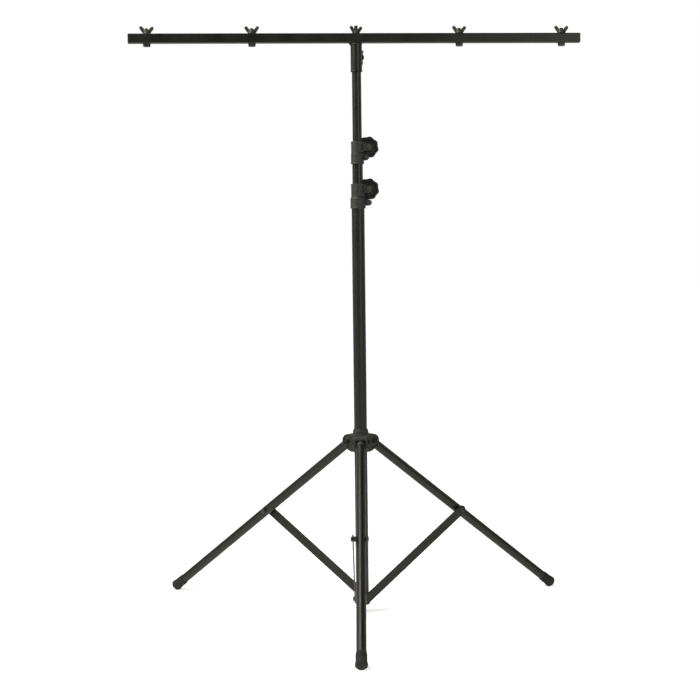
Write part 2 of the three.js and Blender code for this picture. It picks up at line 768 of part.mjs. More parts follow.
function legTube() {
  const end = legReach - bootEndThickness - runningGap;
  const pipe = alongX(tube(legRadius, legRadius - legWall, legTubeStart, end));
  const hole = alongY(rod(m8.radius + runningGap, -legDiameter, legDiameter));
  return cut(pipe, hole.translate(strutJointReach, 0, 0));
}

// The pin through a leg that carries the strut: nut to the left, spacer to the right
function strutPin() {
  const nut = hexagon(m8.acrossFlats, legRadius + runningGap, legRadius + runningGap + m8.nutHeight);
  const spacer = rod(strutSpacerRadius, -strutInnerFace + runningGap, -legRadius - runningGap);
  const pin = rod(m8.radius, -legRadius - 2 * runningGap, legRadius + runningGap + m8.nutHeight + m8.radius / 4);
  return alongY(join(nut, spacer, pin)).translate(strutJointReach, 0, 0);
}

// A boot in its leg's own frame, then laid on the floor, where the rubber is pressed flat
function boot() {
  const bore = legRadius + runningGap;
  const top = legReach - bootLength;
  const cup = revolved([
    [0, legReach - bootEndThickness],
    [bore, legReach - bootEndThickness],
    [bore, top],
    [bootTopRadius, top],
    [bootTopRadius, bootRimReach - bootFlareLength],
    [bootFlareRadius, bootRimReach - bootFlareLength / 3],
    [bootFlareRadius, bootRimReach],
    [bootEndRadius, legReach],
    [0, legReach],
  ]);
  const laid = alongX(cup).rotateY(legAngle).translate(pivotRadius, 0, pivotHeight);
  const far = pivotRadius + legReach;
  return cut(laid, block(0, far + overrun, -far, far, -far, 0));
}

function strut() {
  const half = strutWidth / 2;
  const shape = new THREE.Shape();
  shape.absarc(0, 0, half, Math.PI / 2, Math.PI * 1.5, false);
  shape.absarc(strutLength, 0, half, -Math.PI / 2, Math.PI / 2, false);
  const lowerHole = new THREE.Path().absarc(0, 0, m6.radius + runningGap, 0, Math.PI * 2, false);
  const upperHole = new THREE.Path().absarc(strutLength, 0, m6.radius + runningGap, 0, Math.PI * 2, false);
  shape.holes.push(lowerHole, upperHole);
  return uprightPlate(shape, strutThickness).translate(0, -(strutInnerFace + strutOuterFace) / 2, 0);
}

function roundHead(reach) {
  const face = strutOuterFace + runningGap;
  const top = face + strutHeadHeight;
  const head = revolved([
    [0, face],
    [strutHeadRadius, face],
    [strutHeadRadius, face + strutHeadHeight / 3],
    [strutHeadRadius / 2, top],
    [0, top],
  ], boltSides);
  return join(head, rod(m6.radius, reach, face + strutHeadHeight / 3)).rotateX(Math.PI / 2);
}

function addLeg(leg) {
  const name = legNames[leg];
  const side = addGroup(stand, 0, 0, 0, legTurn(leg));
  addPart(side, `leg_pivot_bolt_${name}`, legPivotBolt().translate(pivotRadius, 0, pivotHeight), blackSteel);
  addPart(side, `boot_${name}`, boot(), rubber);

  const slope = addGroup(side, pivotRadius, 0, pivotHeight);
  slope.rotation.y = legAngle;
  addPart(slope, `leg_tube_${name}`, legTube(), paint);
  addPart(slope, `leg_eye_${name}`, legEye(), mouldedPlastic);
  addPart(slope, `strut_pin_${name}`, strutPin(), blackSteel);

  const rise = addGroup(side, strutFoot.x, 0, strutFoot.y);
  rise.rotation.y = -strutAngle;
  addPart(rise, `strut_${name}`, strut(), paint);
  addPart(rise, `strut_foot_screw_${name}`, roundHead(footFlat - footScrewDepth + runningGap), blackSteel);
  const headBolt = roundHead(strutInnerFace);
  addPart(rise, `strut_head_bolt_${name}`, headBolt.translate(strutLength, 0, 0), blackSteel);
}

function addTripod() {
  const hubPlace = addGroup(stand, 0, 0, pivotHeight);
  addPart(hubPlace, 'hub', hub(), mouldedPlastic);
  const knobPlace = addGroup(hubPlace, 0, 0, 0, hubKnobTurn);
  addPart(knobPlace, 'hub_knob', hubKnob(), knobPlastic);
  legNames.forEach((_, leg) => addLeg(leg));
}

addMast();
addCrossBar();
addTripod();

export default stand;
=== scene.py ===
# %% [markdown]
# # A lighting stand with a T-bar
#
# This lesson dresses a stage lighting stand. The frame that is loaded first holds every part at its real
# size and place, in metres, with the mast on the Z axis and the cross bar along X. Blender adds what the
# plain frame lacks: round tubes, moulded fillets, threads, rubber and paint.

# %% Load the frame
import json
import math

import bmesh
import bpy
from mathutils import Matrix, Vector


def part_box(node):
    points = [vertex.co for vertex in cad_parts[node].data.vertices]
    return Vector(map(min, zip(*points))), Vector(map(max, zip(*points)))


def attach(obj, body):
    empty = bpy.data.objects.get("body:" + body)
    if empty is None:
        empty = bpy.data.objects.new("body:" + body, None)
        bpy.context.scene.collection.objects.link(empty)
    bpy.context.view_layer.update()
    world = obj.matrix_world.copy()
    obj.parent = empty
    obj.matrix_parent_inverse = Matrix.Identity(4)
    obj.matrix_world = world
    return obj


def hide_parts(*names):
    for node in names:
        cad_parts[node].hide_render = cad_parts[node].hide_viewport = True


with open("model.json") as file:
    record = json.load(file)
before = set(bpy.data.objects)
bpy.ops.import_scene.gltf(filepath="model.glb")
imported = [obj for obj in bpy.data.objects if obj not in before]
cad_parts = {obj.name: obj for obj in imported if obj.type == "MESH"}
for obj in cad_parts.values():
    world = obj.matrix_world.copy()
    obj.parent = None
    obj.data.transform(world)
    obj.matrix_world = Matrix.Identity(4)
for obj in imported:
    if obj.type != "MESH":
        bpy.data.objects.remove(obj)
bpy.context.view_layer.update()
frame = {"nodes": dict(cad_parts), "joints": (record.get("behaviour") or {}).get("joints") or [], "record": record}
nodes = frame["nodes"]
joints = {joint["name"]: joint for joint in frame["joints"]}
MM = 0.001

# %% [markdown]
# ## The camera
#
# The picture was taken from about four and a half metres away with a lens of about 85 mm, from a little
# to the left of the bar's own axis, and it is turned by less than a degree. A camera could be aimed by
# hand until the edges fit. Here its place and its three angles were solved from measured edges, so they
# are written down as they are.

# %% Camera
CAMERA_PLACE = (-0.3837, -4.4756, 1.0031)
HEADING, PITCH, ROLL = 4.564, -3.60, 0.688
FOCAL_PIXELS = 1652.6
FRAME_PIXELS = 700
SENSOR_MM = 36


def new_object(name, data):
    """An object in the scene that holds a mesh, a lamp or a camera."""
    item = bpy.data.objects.new(name, data)
    bpy.context.scene.collection.objects.link(item)
    return item


def shift(x, y, z):
    """A step along the axes."""
    return Matrix.Translation((x, y, z))


def turned(axis, degrees):
    """A turn about an axis."""
    return Matrix.Rotation(math.radians(degrees), 4, axis)


camera_data = bpy.data.cameras.new("camera")
camera_data.sensor_width = SENSOR_MM
camera_data.lens = FOCAL_PIXELS / FRAME_PIXELS * SENSOR_MM
camera = new_object("camera", camera_data)
# A new camera looks straight down, so it is rolled, raised to the horizon and its pitch, and then turned
camera.matrix_world = (
    shift(*CAMERA_PLACE) @ turned("Z", -HEADING) @ turned("X", 90 + PITCH) @ turned("Z", -ROLL)
)
bpy.context.scene.camera = camera
bpy.context.scene.view_settings.view_transform = "Standard"
print(f"lens {camera_data.lens:.1f} mm")

# %% [markdown]
# ## Nodes for materials
#
# Every finish is made of shader nodes. One small function adds a node, gives it its settings and links
# its inputs, and another turns the sRGB colours that people write into the linear ones that the shader
# wants. Patterns are sized in millimetres: a noise has cells of about one unit divided by its scale.


# %% Node and colour helpers
def add_node(tree, kind, settings=None, inputs=None):
    """Add a node, set its properties, and set or link its inputs by name or number."""
    node = tree.nodes.new(kind)
    for name, value in (settings or {}).items():
        setattr(node, name, value)
    for name, value in (inputs or {}).items():
        if isinstance(value, bpy.types.NodeSocket):
            tree.links.new(value, node.inputs[name])
        else:
            node.inputs[name].default_value = value
    return node


def linear(hex_colour):
    """The linear colour of an sRGB hex value."""
    channels = [int(hex_colour[i:i + 2], 16) / 255 for i in (1, 3, 5)]
    return [c / 12.92 if c <= 0.04045 else ((c + 0.055) / 1.055) ** 2.4 for c in channels] + [1]


def cells(size_mm):
    """The scale of a noise whose cells are this many millimetres wide."""
    return 1 / (size_mm * MM)


def emptied(owner):
    """The node tree of a material or of the world, without its first nodes."""
    owner.use_nodes = True
    owner.node_tree.nodes.clear()
    return owner.node_tree


def new_material(name):
    """A material, its tree, its shader, and the place on the piece, which its patterns read."""
    material = bpy.data.materials.new(name)
    tree = emptied(material)
    shader = add_node(tree, "ShaderNodeBsdfPrincipled")
    add_node(tree, "ShaderNodeOutputMaterial", inputs={"Surface": shader.outputs["BSDF"]})
    place = add_node(tree, "ShaderNodeTexCoord").outputs["Object"]
    return material, tree, shader, place


# %% [markdown]
# ## Floor, background and light
#
# The stand was photographed on a white sweep, so the white comes from the floor and the world as the
# camera, gloss and clear parts see them, and not from strong lamps that would wash the black out. The
# sweep stands behind the stand and the rest of the room is dark, which leaves the faces that look at the
# camera almost black. The lamps are a large soft one above on the left, one overhead that draws the
# streak on the front leg, a strip on the right for the streak on the tubes, and a weak one on each side
# for the tubes' edges.

# %% World
WHITE = linear("#ffffff")
ROOM = 0.03
SWEEP_FROM = 0.4


def white_seen(tree, straight_level, mirrored_level):
    """How much white a ray sees: one level straight or through a clear part, and another in gloss."""
    path = add_node(tree, "ShaderNodeLightPath")
    clear = add_node(tree, "ShaderNodeMath", {"operation": "MAXIMUM"}, {
        0: path.outputs["Is Camera Ray"], 1: path.outputs["Is Transmission Ray"],
    })
    straight = add_node(tree, "ShaderNodeMath", {"operation": "MULTIPLY"}, {
        0: clear.outputs["Value"], 1: straight_level,
    })
    mirrored = add_node(tree, "ShaderNodeMath", {"operation": "MULTIPLY"}, {
        0: path.outputs["Is Glossy Ray"], 1: mirrored_level,
    })
    both = add_node(tree, "ShaderNodeMath", {"operation": "MAXIMUM"}, {
        0: straight.outputs["Value"], 1: mirrored.outputs["Value"],
    })
    return both.outputs["Value"]


# The background is white for the camera. Gloss sees it only behind the stand, in an otherwise dark room.
world = bpy.data.worlds.new("studio")
bpy.context.scene.world = world
tree = emptied(world)
direction = add_node(tree, "ShaderNodeTexCoord")
parts = add_node(tree, "ShaderNodeSeparateXYZ", inputs={0: direction.outputs["Generated"]})
sweep = add_node(tree, "ShaderNodeMapRange", {"interpolation_type": "SMOOTHSTEP"}, {
    "Value": parts.outputs["Y"], "From Min": SWEEP_FROM, "From Max": 1,
})
seen = white_seen(tree, 1, sweep.outputs["Result"])
room = add_node(tree, "ShaderNodeBackground", inputs={"Color": WHITE, "Strength": ROOM})
white = add_node(tree, "ShaderNodeBackground", inputs={"Color": WHITE, "Strength": 1})
mix = add_node(tree, "ShaderNodeMixShader", inputs={
    0: seen, 1: room.outputs["Background"], 2: white.outputs["Background"],
})
add_node(tree, "ShaderNodeOutputWorld", inputs={"Surface": mix.outputs["Shader"]})
print(f"a white background, and {ROOM:.0%} of it as light from the room")

# %% Floor
FLOOR_SIZE = 60
FLOOR_GLOW = 0.7
FLOOR_IN_GLOSS = 0.42
LIT_FLOOR, UNLIT_FLOOR = 1.2, 3.6


def mesh_from(bm, name):
    """The mesh of a bmesh, which is freed."""
    mesh = bpy.data.meshes.new(name)
    bm.to_mesh(mesh)
    bm.free()
    return mesh


# The floor glows for the camera and for gloss, and still takes the stand's shadow. Away from the stand the
# lamps light it less, and its own glow makes up for that.
ground = bmesh.new()
bmesh.ops.create_grid(ground, x_segments=1, y_segments=1, size=FLOOR_SIZE / 2)
floor = new_object("floor", mesh_from(ground, "floor"))
white_sweep = bpy.data.materials.new("white_sweep")
floor.data.materials.append(white_sweep)
tree = emptied(white_sweep)
place = add_node(tree, "ShaderNodeTexCoord").outputs["Object"]
distance = add_node(tree, "ShaderNodeVectorMath", {"operation": "LENGTH"}, {0: place})
level = add_node(tree, "ShaderNodeMapRange", {"interpolation_type": "SMOOTHSTEP"}, {
    "Value": distance.outputs["Value"], "From Min": LIT_FLOOR, "From Max": UNLIT_FLOOR,
    "To Min": FLOOR_GLOW, "To Max": 1,
})
glow = white_seen(tree, level.outputs["Result"], FLOOR_IN_GLOSS)
light = add_node(tree, "ShaderNodeEmission", inputs={"Color": WHITE, "Strength": glow})
paper = add_node(tree, "ShaderNodeBsdfDiffuse", inputs={"Color": linear("#f2f2f2")})
lit = add_node(tree, "ShaderNodeAddShader", inputs={0: light.outputs[0], 1: paper.outputs[0]})
add_node(tree, "ShaderNodeOutputMaterial", inputs={"Surface": lit.outputs[0]})
print(f"floor {FLOOR_SIZE} m wide")

# %% Lamps
LAMP_COLOUR = linear("#fffdf0")[:3]


def add_lamp(name, place, target, size, watts):
    """A square area lamp that looks from its place to a target."""
    data = bpy.data.lights.new(name, "AREA")
    data.shape = "RECTANGLE"
    data.size, data.size_y = size
    data.energy = watts
    data.color = LAMP_COLOUR
    lamp = new_object(name, data)
    aim = (Vector(target) - Vector(place)).to_track_quat("-Z", "Y")
    lamp.matrix_world = shift(*place) @ aim.to_matrix().to_4x4()


MIDDLE_OF_STAND = (0, 0, 0.9)
CLAMP_LEVEL = (0, 0, 1.3)
# Names, places, targets and sizes in metres, and watts
add_lamp("soft_top_left", (-2.9, -1.1, 3.4), MIDDLE_OF_STAND, (2.4, 2.4), 105)
add_lamp("soft_top", (-1.3, -0.3, 3.8), MIDDLE_OF_STAND, (1.2, 1.2), 56)
add_lamp("strip_right", (1.9, -3.0, 1.7), CLAMP_LEVEL, (0.8, 1.8), 22)
add_lamp("side_left", (-3.0, -0.1, 1.6), CLAMP_LEVEL, (1.0, 2.0), 6)
add_lamp("side_right", (2.9, 0.3, 1.8), CLAMP_LEVEL, (1.0, 1.6), 6)

# %% [markdown]
# ## The finishes
#
# The stand's finishes are all nearly black, and they differ in their gloss and grain. The tubes, the bar
# and the struts are powder coated steel: baked paint with a satin sheen and the faint dimples that
# makers call orange peel. The collars are glass filled nylon, greyer, with a fine sparked grain from the
# mould, and the knobs are a darker batch of it. The hub's nylon is a shade darker than the collars', as
# painted shade for the shade that falls in its lugs' cheeks. The boots are rubber. The bolts are
# blackened steel, and the legs' pivot bolts are darker still, as painted shade where they sit in those
# cheeks. One colour and one roughness would do for each from far away, but patches of two near shades,
# and small bumps, keep a surface from looking like plastic film.


# %% Patches and bumps
def mottle(tree, place, dark, light, size_mm, detail=3):
    """A colour that wanders between two near shades in patches of this size."""
    patches = add_node(tree, "ShaderNodeTexNoise", inputs={
        "Vector": place, "Scale": cells(size_mm), "Detail": detail,
    })
    mix = add_node(tree, "ShaderNodeMix", {"data_type": "RGBA"}, {
        0: patches.outputs["Fac"], 6: linear(dark), 7: linear(light),
    })
    return mix.outputs[2], patches.outputs["Fac"]


def uneven_gloss(tree, patches, low, high):
    """A roughness that wanders between these two with the patches."""
    spread = add_node(tree, "ShaderNodeMapRange", inputs={
        "Value": patches, "From Min": 0.3, "From Max": 0.7, "To Min": low, "To Max": high,
    })
    return spread.outputs["Result"]


def dimple(tree, place, size_mm, depth_mm, strength):
    """Bumps of this size and depth."""
    grain = add_node(tree, "ShaderNodeTexNoise", inputs={
        "Vector": place, "Scale": cells(size_mm), "Detail": 2,
    })
    bump = add_node(tree, "ShaderNodeBump", inputs={
        "Height": grain.outputs["Fac"], "Distance": depth_mm * MM, "Strength": strength,
    })
    return bump.outputs["Normal"]


def dress(tree, shader, colour, roughness, bumps):
    """Link what varies over a surface to its shader."""
    for name, varied in (("Base Color", colour), ("Roughness", roughness), ("Normal", bumps)):
        tree.links.new(varied, shader.inputs[name])


# %% Powder coat
RUB_WIDTH = 2.2
RUB_STRETCH = (1, 1, 0.012)


def powder_coat(name, dark, light, low_roughness, high_roughness, slide_marks):
    """Satin black powder coat on steel, with orange peel, and rub marks along tubes that slide."""
    material, tree, shader, place = new_material(name)
    colour, patches = mottle(tree, place, dark, light, size_mm=60)
    roughness = uneven_gloss(tree, patches, low_roughness, high_roughness)
    if slide_marks:
        # A noise pulled out along the tube gives the long light rubs that a clamp leaves
        stretched = add_node(tree, "ShaderNodeMapping", inputs={"Vector": place, "Scale": RUB_STRETCH})
        rubs = add_node(tree, "ShaderNodeTexNoise", inputs={
            "Vector": stretched.outputs["Vector"], "Scale": cells(RUB_WIDTH), "Detail": 4,
        })
        worn = add_node(tree, "ShaderNodeMapRange", inputs={
            "Value": rubs.outputs["Fac"], "From Min": 0.52, "From Max": 0.7, "To Min": 0, "To Max": 0.09,
        })
        roughness = add_node(tree, "ShaderNodeMath", {"operation": "SUBTRACT"}, {
            0: roughness, 1: worn.outputs["Result"],
        }).outputs["Value"]
    # Orange peel is about a millimetre across, and is drawn a little coarser so that it shows
    peel = dimple(tree, place, size_mm=1.6, depth_mm=0.05, strength=0.2)
    dress(tree, shader, colour, roughness, peel)
    shader.inputs["IOR"].default_value = 1.5
    return material


# %% Nylon, rubber and steel
def moulded_nylon(name, dark, light, roughness, grain_mm):
    """Glass filled nylon as it leaves the mould: a matt skin with a fine sparked grain."""
    material, tree, shader, place = new_material(name)
    colour, patches = mottle(tree, place, dark, light, size_mm=9, detail=5)
    dress(tree, shader, colour, uneven_gloss(tree, patches, roughness - 0.06, roughness + 0.06),
          dimple(tree, place, grain_mm, depth_mm=0.06, strength=0.5))
    shader.inputs["IOR"].default_value = 1.53
    return material


def boot_rubber(dust_height=22):
    """Black rubber, matt, greyed by floor dust up to this height in millimetres."""
    material, tree, shader, place = new_material("boot_rubber")
    colour, patches = mottle(tree, place, "#1e1e1b", "#2b2b27", size_mm=5, detail=5)
    above_floor = add_node(tree, "ShaderNodeSeparateXYZ", inputs={0: place}).outputs["Z"]
    dusty = add_node(tree, "ShaderNodeMapRange", inputs={
        "Value": above_floor, "From Min": 0, "From Max": dust_height * MM, "To Min": 0.15, "To Max": 0,
    })
    patchy = add_node(tree, "ShaderNodeMath", {"operation": "MULTIPLY"}, {
        0: dusty.outputs["Result"], 1: patches,
    })
    dust = add_node(tree, "ShaderNodeMix", {"data_type": "RGBA"}, {
        0: patchy.outputs["Value"], 6: colour, 7: linear("#6f6c64"),
    })
    dress(tree, shader, dust.outputs[2], uneven_gloss(tree, patches, 0.72, 0.85),
          dimple(tree, place, size_mm=0.9, depth_mm=0.08, strength=0.5))
    shader.inputs["IOR"].default_value = 1.52
    return material


def blackened_steel(name, dark, light):
    """Steel bolts with a chemical black: a thin dark film, with bare metal glinting through it."""
    material, tree, shader, place = new_material(name)
    colour, patches = mottle(tree, place, dark, light, size_mm=3, detail=5)
    dress(tree, shader, colour, uneven_gloss(tree, patches, 0.42, 0.58),
          dimple(tree, place, size_mm=0.5, depth_mm=0.02, strength=0.3))
    shader.inputs["Metallic"].default_value = 0.6
    return material


FINISH_OF_SLOT = {
    "paint": powder_coat("powder_coated_steel", "#12120c", "#181811", 0.34, 0.46, slide_marks=False),
    "moulding": moulded_nylon("glass_filled_nylon", "#2b2d28", "#363832", roughness=0.55, grain_mm=0.7),
    "knob": moulded_nylon("knob_nylon", "#191a17", "#21221f", roughness=0.5, grain_mm=0.6),
    "rubber": boot_rubber(),
    "black_steel": blackened_steel("blackened_steel", "#3c3f39", "#585b54"),
}
# A few pieces differ a little from the others of their slot
sliding_paint = powder_coat("powder_coated_sliding_tube", "#12120f", "#191915", 0.34, 0.44,
                            slide_marks=True)
# The hub's nylon is a shade darker than the collars': painted shade for the shade in its lugs' cheeks
painted_shade_hub_nylon = moulded_nylon("painted_shade_hub_nylon", "#252722", "#2e302b", roughness=0.55, grain_mm=0.7)
# The pivot bolts' blackened steel is darker still: painted shade, so that they sit dark in the cheeks
painted_shade_pivot_steel = blackened_steel("pivot_steel_with_painted_shade", "#20211e", "#31332f")
print(len(bpy.data.materials), "materials")

# %% [markdown]
# ## How the pieces are modelled
#
# Each new piece is modelled in millimetres about its own axis, where its sizes are easy to read, and is
# then carried to its place on the stand, in metres. Turned pieces, such as tubes and boots, are an
# outline spun about Z. Flat pieces, such as the struts, are an outline with a thickness. Both could also
# be drawn with primitives and scaled, but an outline shows where every size comes from.

# %% Turned pieces and softened edges
TURN_STEPS = 72


def spun(outline, steps=TURN_STEPS):
    """A solid turned about Z from an outline of radius and height."""
    bm = bmesh.new()
    corners = [bm.verts.new((radius, 0, up)) for radius, up in outline]
    edges = [bm.edges.new(pair) for pair in zip(corners, corners[1:])]
    if outline[0][0] > 0:
        edges.append(bm.edges.new((corners[-1], corners[0])))
    bmesh.ops.spin(bm, geom=corners + edges, cent=(0, 0, 0), axis=(0, 0, 1), angle=math.tau, steps=steps,
                   use_merge=True)
    bmesh.ops.remove_doubles(bm, verts=bm.verts, dist=0.001)
    bmesh.ops.recalc_face_normals(bm, faces=bm.faces)
    return bm


def cylinder(radius, low, high, steps=TURN_STEPS):
    """A plain round bar on Z."""
    return spun([(0, low), (radius, low), (radius, high), (0, high)], steps)


def soften(bm, width, segments=2, least_degrees=30):
    """Round off the edges that are sharper than this angle."""
    sharp = [
        edge for edge in bm.edges
        if edge.is_manifold and edge.calc_face_angle() > math.radians(least_degrees)
    ]
    bmesh.ops.bevel(bm, geom=sharp, offset=width, segments=segments, profile=0.5, affect="EDGES",
                    clamp_overlap=True, material=-1)
    return bm


# %% Moving and cutting a mesh
def moved(bm, *steps):
    """Carry a mesh through these steps, the first one first."""
    for step in steps:
        bm.transform(step)
    return bm


def cut_off(bm, point, outwards):
    """Take away what lies beyond a plane and close the cut. The closing faces are returned."""
    cut = bmesh.ops.bisect_plane(bm, geom=bm.verts[:] + bm.edges[:] + bm.faces[:], plane_co=point,
                                 plane_no=outwards, clear_outer=True)
    rim = [item for item in cut["geom_cut"] if isinstance(item, bmesh.types.BMEdge)]
    return bmesh.ops.edgeloop_fill(bm, edges=rim)["faces"]


# %% Flat pieces
def arc(centre, radius, start, end, steps=16):
    """Points along a round stretch, both ends included, with its angles in degrees."""
    angles = [math.radians(start + (end - start) * step / steps) for step in range(steps + 1)]
    x, y = centre
    return [(x + radius * math.cos(angle), y + radius * math.sin(angle)) for angle in angles]


def block(*sides):
    """A block about the origin with these sides along X, Y and Z."""
    bm = bmesh.new()
    bmesh.ops.create_cube(bm, size=1, matrix=Matrix.Diagonal((*sides, 1)))
    return bm


def thickened(bm, thickness):
    """Give the only face of a mesh a thickness along Z, from its own plane up."""
    pulled = bmesh.ops.extrude_face_region(bm, geom=bm.faces[:])
    top = [item for item in pulled["geom"] if isinstance(item, bmesh.types.BMVert)]
    bmesh.ops.translate(bm, verts=top, vec=(0, 0, thickness))
    bmesh.ops.recalc_face_normals(bm, faces=bm.faces)
    return bm


def plate(outline, thickness):
    """A plate drawn in X and Z, whose thickness lies half on each side of the drawing."""
    bm = bmesh.new()
    bm.faces.new([bm.verts.new((across, up, 0)) for across, up in outline])
    return moved(thickened(bm, thickness), shift(0, 0, -thickness / 2), turned("X", 90))


# %% [markdown]
# Some pieces are several solids in one. Bolts and nuts can simply share a mesh, as the real ones overlap
# where they are screwed together. A moulding can't: its solids must be run into one skin, slots must be
# cut out of it, and every inner corner has a small round. An exact boolean makes the shape, and a voxel
# remesh with a little smoothing leaves the rounds that a mould leaves.


# %% Solids in one mesh
def together(*parts):
    """One mesh that holds all of these."""
    whole = bmesh.new()
    for part in parts:
        mesh = mesh_from(part, "part")
        whole.from_mesh(mesh)
        bpy.data.meshes.remove(mesh)
    return whole


def released(holder, *helpers):
    """The mesh that an object's modifiers make. The object and its helpers are removed."""
    bpy.context.view_layer.update()
    evaluated = holder.evaluated_get(bpy.context.evaluated_depsgraph_get())
    bm = bmesh.new()
    bm.from_mesh(evaluated.to_mesh())
    evaluated.to_mesh_clear()
    for item in (holder, *helpers):
        mesh = item.data
        bpy.data.objects.remove(item)
        bpy.data.meshes.remove(mesh)
    return bm


def built(first, add=(), cut=()):
    """A solid with others joined to it, and then others cut out of it."""
    holder = new_object("solid", mesh_from(first, "solid"))
    helpers = []
    for operation, parts in (("UNION", add), ("DIFFERENCE", cut)):
        for part in parts:
            helper = new_object("helper", mesh_from(part, "helper"))
            helpers.append(helper)
            boolean = holder.modifiers.new("boolean", "BOOLEAN")
            boolean.operation = operation
            boolean.solver = "EXACT"
            boolean.object = helper
    return released(holder, *helpers)


def moulded(bm, voxel, rounds):
    """Remesh solids into one skin with rounded inner corners."""
    holder = new_object("solids", mesh_from(bm, "solids"))
    skin = holder.modifiers.new("skin", "REMESH")
    skin.mode = "VOXEL"
    skin.voxel_size = voxel
    smooth = holder.modifiers.new("rounds", "SMOOTH")
    smooth.factor = 0.5
    smooth.iterations = rounds
    return released(holder)


# %% [markdown]
# A finished piece sits at the origin with its place in its mesh, takes the finish of its slot or one of
# its own, rides on a body of the frame, and stands for the plain part that it replaces. Weighted normals
# keep a flat face flat where it runs into a softened edge.

# %% Placing a piece
SHARP_FROM = 35


def place_piece(name, bm, place, slot, body, *stands_for, finish=None, weighted=True):
    """Carry a piece to its place, finish it, tie it to its body, and hide the part that it stands for."""
    bm.transform(place @ Matrix.Scale(MM, 4))
    for face in bm.faces:
        face.smooth = True
    mesh = mesh_from(bm, name)
    mesh.set_sharp_from_angle(angle=math.radians(SHARP_FROM))
    mesh.materials.append(finish or FINISH_OF_SLOT[slot])
    piece = new_object(name, mesh)
    if weighted:
        normals = piece.modifiers.new("normals", "WEIGHTED_NORMAL")
        normals.keep_sharp = True
    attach(piece, body)
    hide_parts(*stands_for)
    print(f"{name}: {len(mesh.polygons)} faces")


def reach(node, axis):
    """The lowest and the highest place of a part of the frame along an axis, in millimetres."""
    low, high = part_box(node)
    return low[axis] / MM, high[axis] / MM


def height(millimetres):
    """A place on the mast's axis at this height."""
    return shift(0, 0, millimetres * MM)


# %% [markdown]
# ## The tubes
#
# The mast and the legs are drawn steel tube with a thin wall. Each is a ring spun about its axis, with
# the rims broken by a file, so that they catch a thread of light. The middle and upper tubes slide in
# their clamps, so they have the finish with the rub marks.

# %% Mast tubes
LOWER_WALL = 1.5
SLIM_WALL = 1.2
RIM_BREAK = 0.4


def drawn_tube(radius, wall, low, high):
    """A round tube on Z, with softened rims."""
    ring = spun([(radius - wall, low), (radius, low), (radius, high), (radius - wall, high)])
    return soften(ring, RIM_BREAK)


def width_of(node):
    """The width of a part of the frame along X, in millimetres."""
    low, high = reach(node, 0)
    return high - low


LOWER_RADIUS = width_of("lower_tube") / 2
MIDDLE_RADIUS = width_of("middle_tube") / 2
UPPER_RADIUS = width_of("upper_tube") / 2
for node_name, radius, wall, finish, body in (
    ("lower_tube", LOWER_RADIUS, LOWER_WALL, None, "lower_mast"),
    ("middle_tube", MIDDLE_RADIUS, SLIM_WALL, sliding_paint, "middle_mast"),
    ("upper_tube", UPPER_RADIUS, SLIM_WALL, sliding_paint, "upper_mast"),
):
    tube = drawn_tube(radius, wall, *reach(node_name, 2))
    place_piece(f"drawn_{node_name}", tube, height(0), "paint", body, node_name, finish=finish)

# %% [markdown]
# ## The clamp collars
#
# A collar is one moulding with two halves. The lower half is bolted round the outer tube by a small bolt
# through a pair of ears. The upper half is slit, and a star knob draws its ears together until it grips
# the inner tube. The two halves meet in a shoulder that catches the light from above.

# %% Collar shape
# The gap is the play that neighbouring pieces have
GAP = 0.3
SLIT = 3
EAR_THICKNESS = 7
EAR_FACE = SLIT / 2 + EAR_THICKNESS + GAP
KNOB_REACH = 30.5
LIP = 0.8
LIP_HEIGHT = 4
SHOULDER = 4
SEAT_LAND = 2.3
SPLIT = 2


def ear(bolt_reach, bolt_height, end_radius, root_height, thickness):
    """A pair of ears as one plate: a root at the tube that narrows to a round end about the bolt."""
    outline = [(0, bolt_height - root_height / 2)]
    outline += arc((bolt_reach, bolt_height), end_radius, -90, 90)
    outline += [(0, bolt_height + root_height / 2)]
    return plate(outline, thickness)


def clamp_collar(bores, radii, split, top, clamp_ear, fixing_ear):
    """A collar on Z with its foot at zero and its ears towards X."""
    (outer_bore, inner_bore), (lower_radius, upper_radius) = bores, radii
    shell = spun([
        (0, 0), (lower_radius - 0.6, 0), (lower_radius + LIP, 0.6), (lower_radius + LIP, LIP_HEIGHT - 1),
        (lower_radius, LIP_HEIGHT), (lower_radius, split - SHOULDER),
        (lower_radius - 0.4, split - SHOULDER + 1), (upper_radius, split), (upper_radius, top - LIP_HEIGHT),
        (upper_radius + LIP, top - LIP_HEIGHT + 1), (upper_radius + LIP, top - 0.6),
        (upper_radius - 0.6, top), (0, top),
    ])
    far = clamp_ear[0] + clamp_ear[2] + 3
    width = SLIT + 2 * EAR_THICKNESS
    ears = [ear(*clamp_ear, width), ear(*fixing_ear, width)]
    cuts = [
        moved(block(far, SLIT, top + 6), shift(far / 2, 0, top / 2)),
        moved(block(far, 2 * far, SPLIT), shift(far / 2, 0, split)),
        cylinder(inner_bore, -3, top + 3),
        cylinder(outer_bore, -4, split - SEAT_LAND),
    ]
    return moulded(built(shell, ears, cuts), voxel=0.7, rounds=4)


# %% [markdown]
# ## Bolts
#
# A hexagon head starts from a cone with six sides and no taper. Its top corners are cut by a vertex
# bevel, which is what the turning of a real head leaves. A thread is one tooth wound up the rod: spin
# takes a step along the axis at each turn, so one turn and one pitch meet. The bolts are metric, with
# coarse threads.

# %% Heads, nuts and threads
# A metric size is its radius and its pitch, and its head and its nut have standard widths and heights
M6, M8, M10 = (3, 1), (4, 1.25), (5, 1.5)
ACROSS_FLATS = {M6: 10, M8: 13, M10: 17}
HEAD_HEIGHT = {M6: 4, M8: 5.3, M10: 6.6}
NUT_HEIGHT = {M6: 5, M8: 6.5}
TIP = 0.7


def six_sided(across_flats, low, high):
    """A bar on Z with six sides."""
    bm = bmesh.new()
    radius = across_flats / math.sqrt(3)
    bmesh.ops.create_cone(bm, cap_ends=True, segments=6, radius1=radius, radius2=radius, depth=high - low,
                          matrix=shift(0, 0, (low + high) / 2))
    return bm


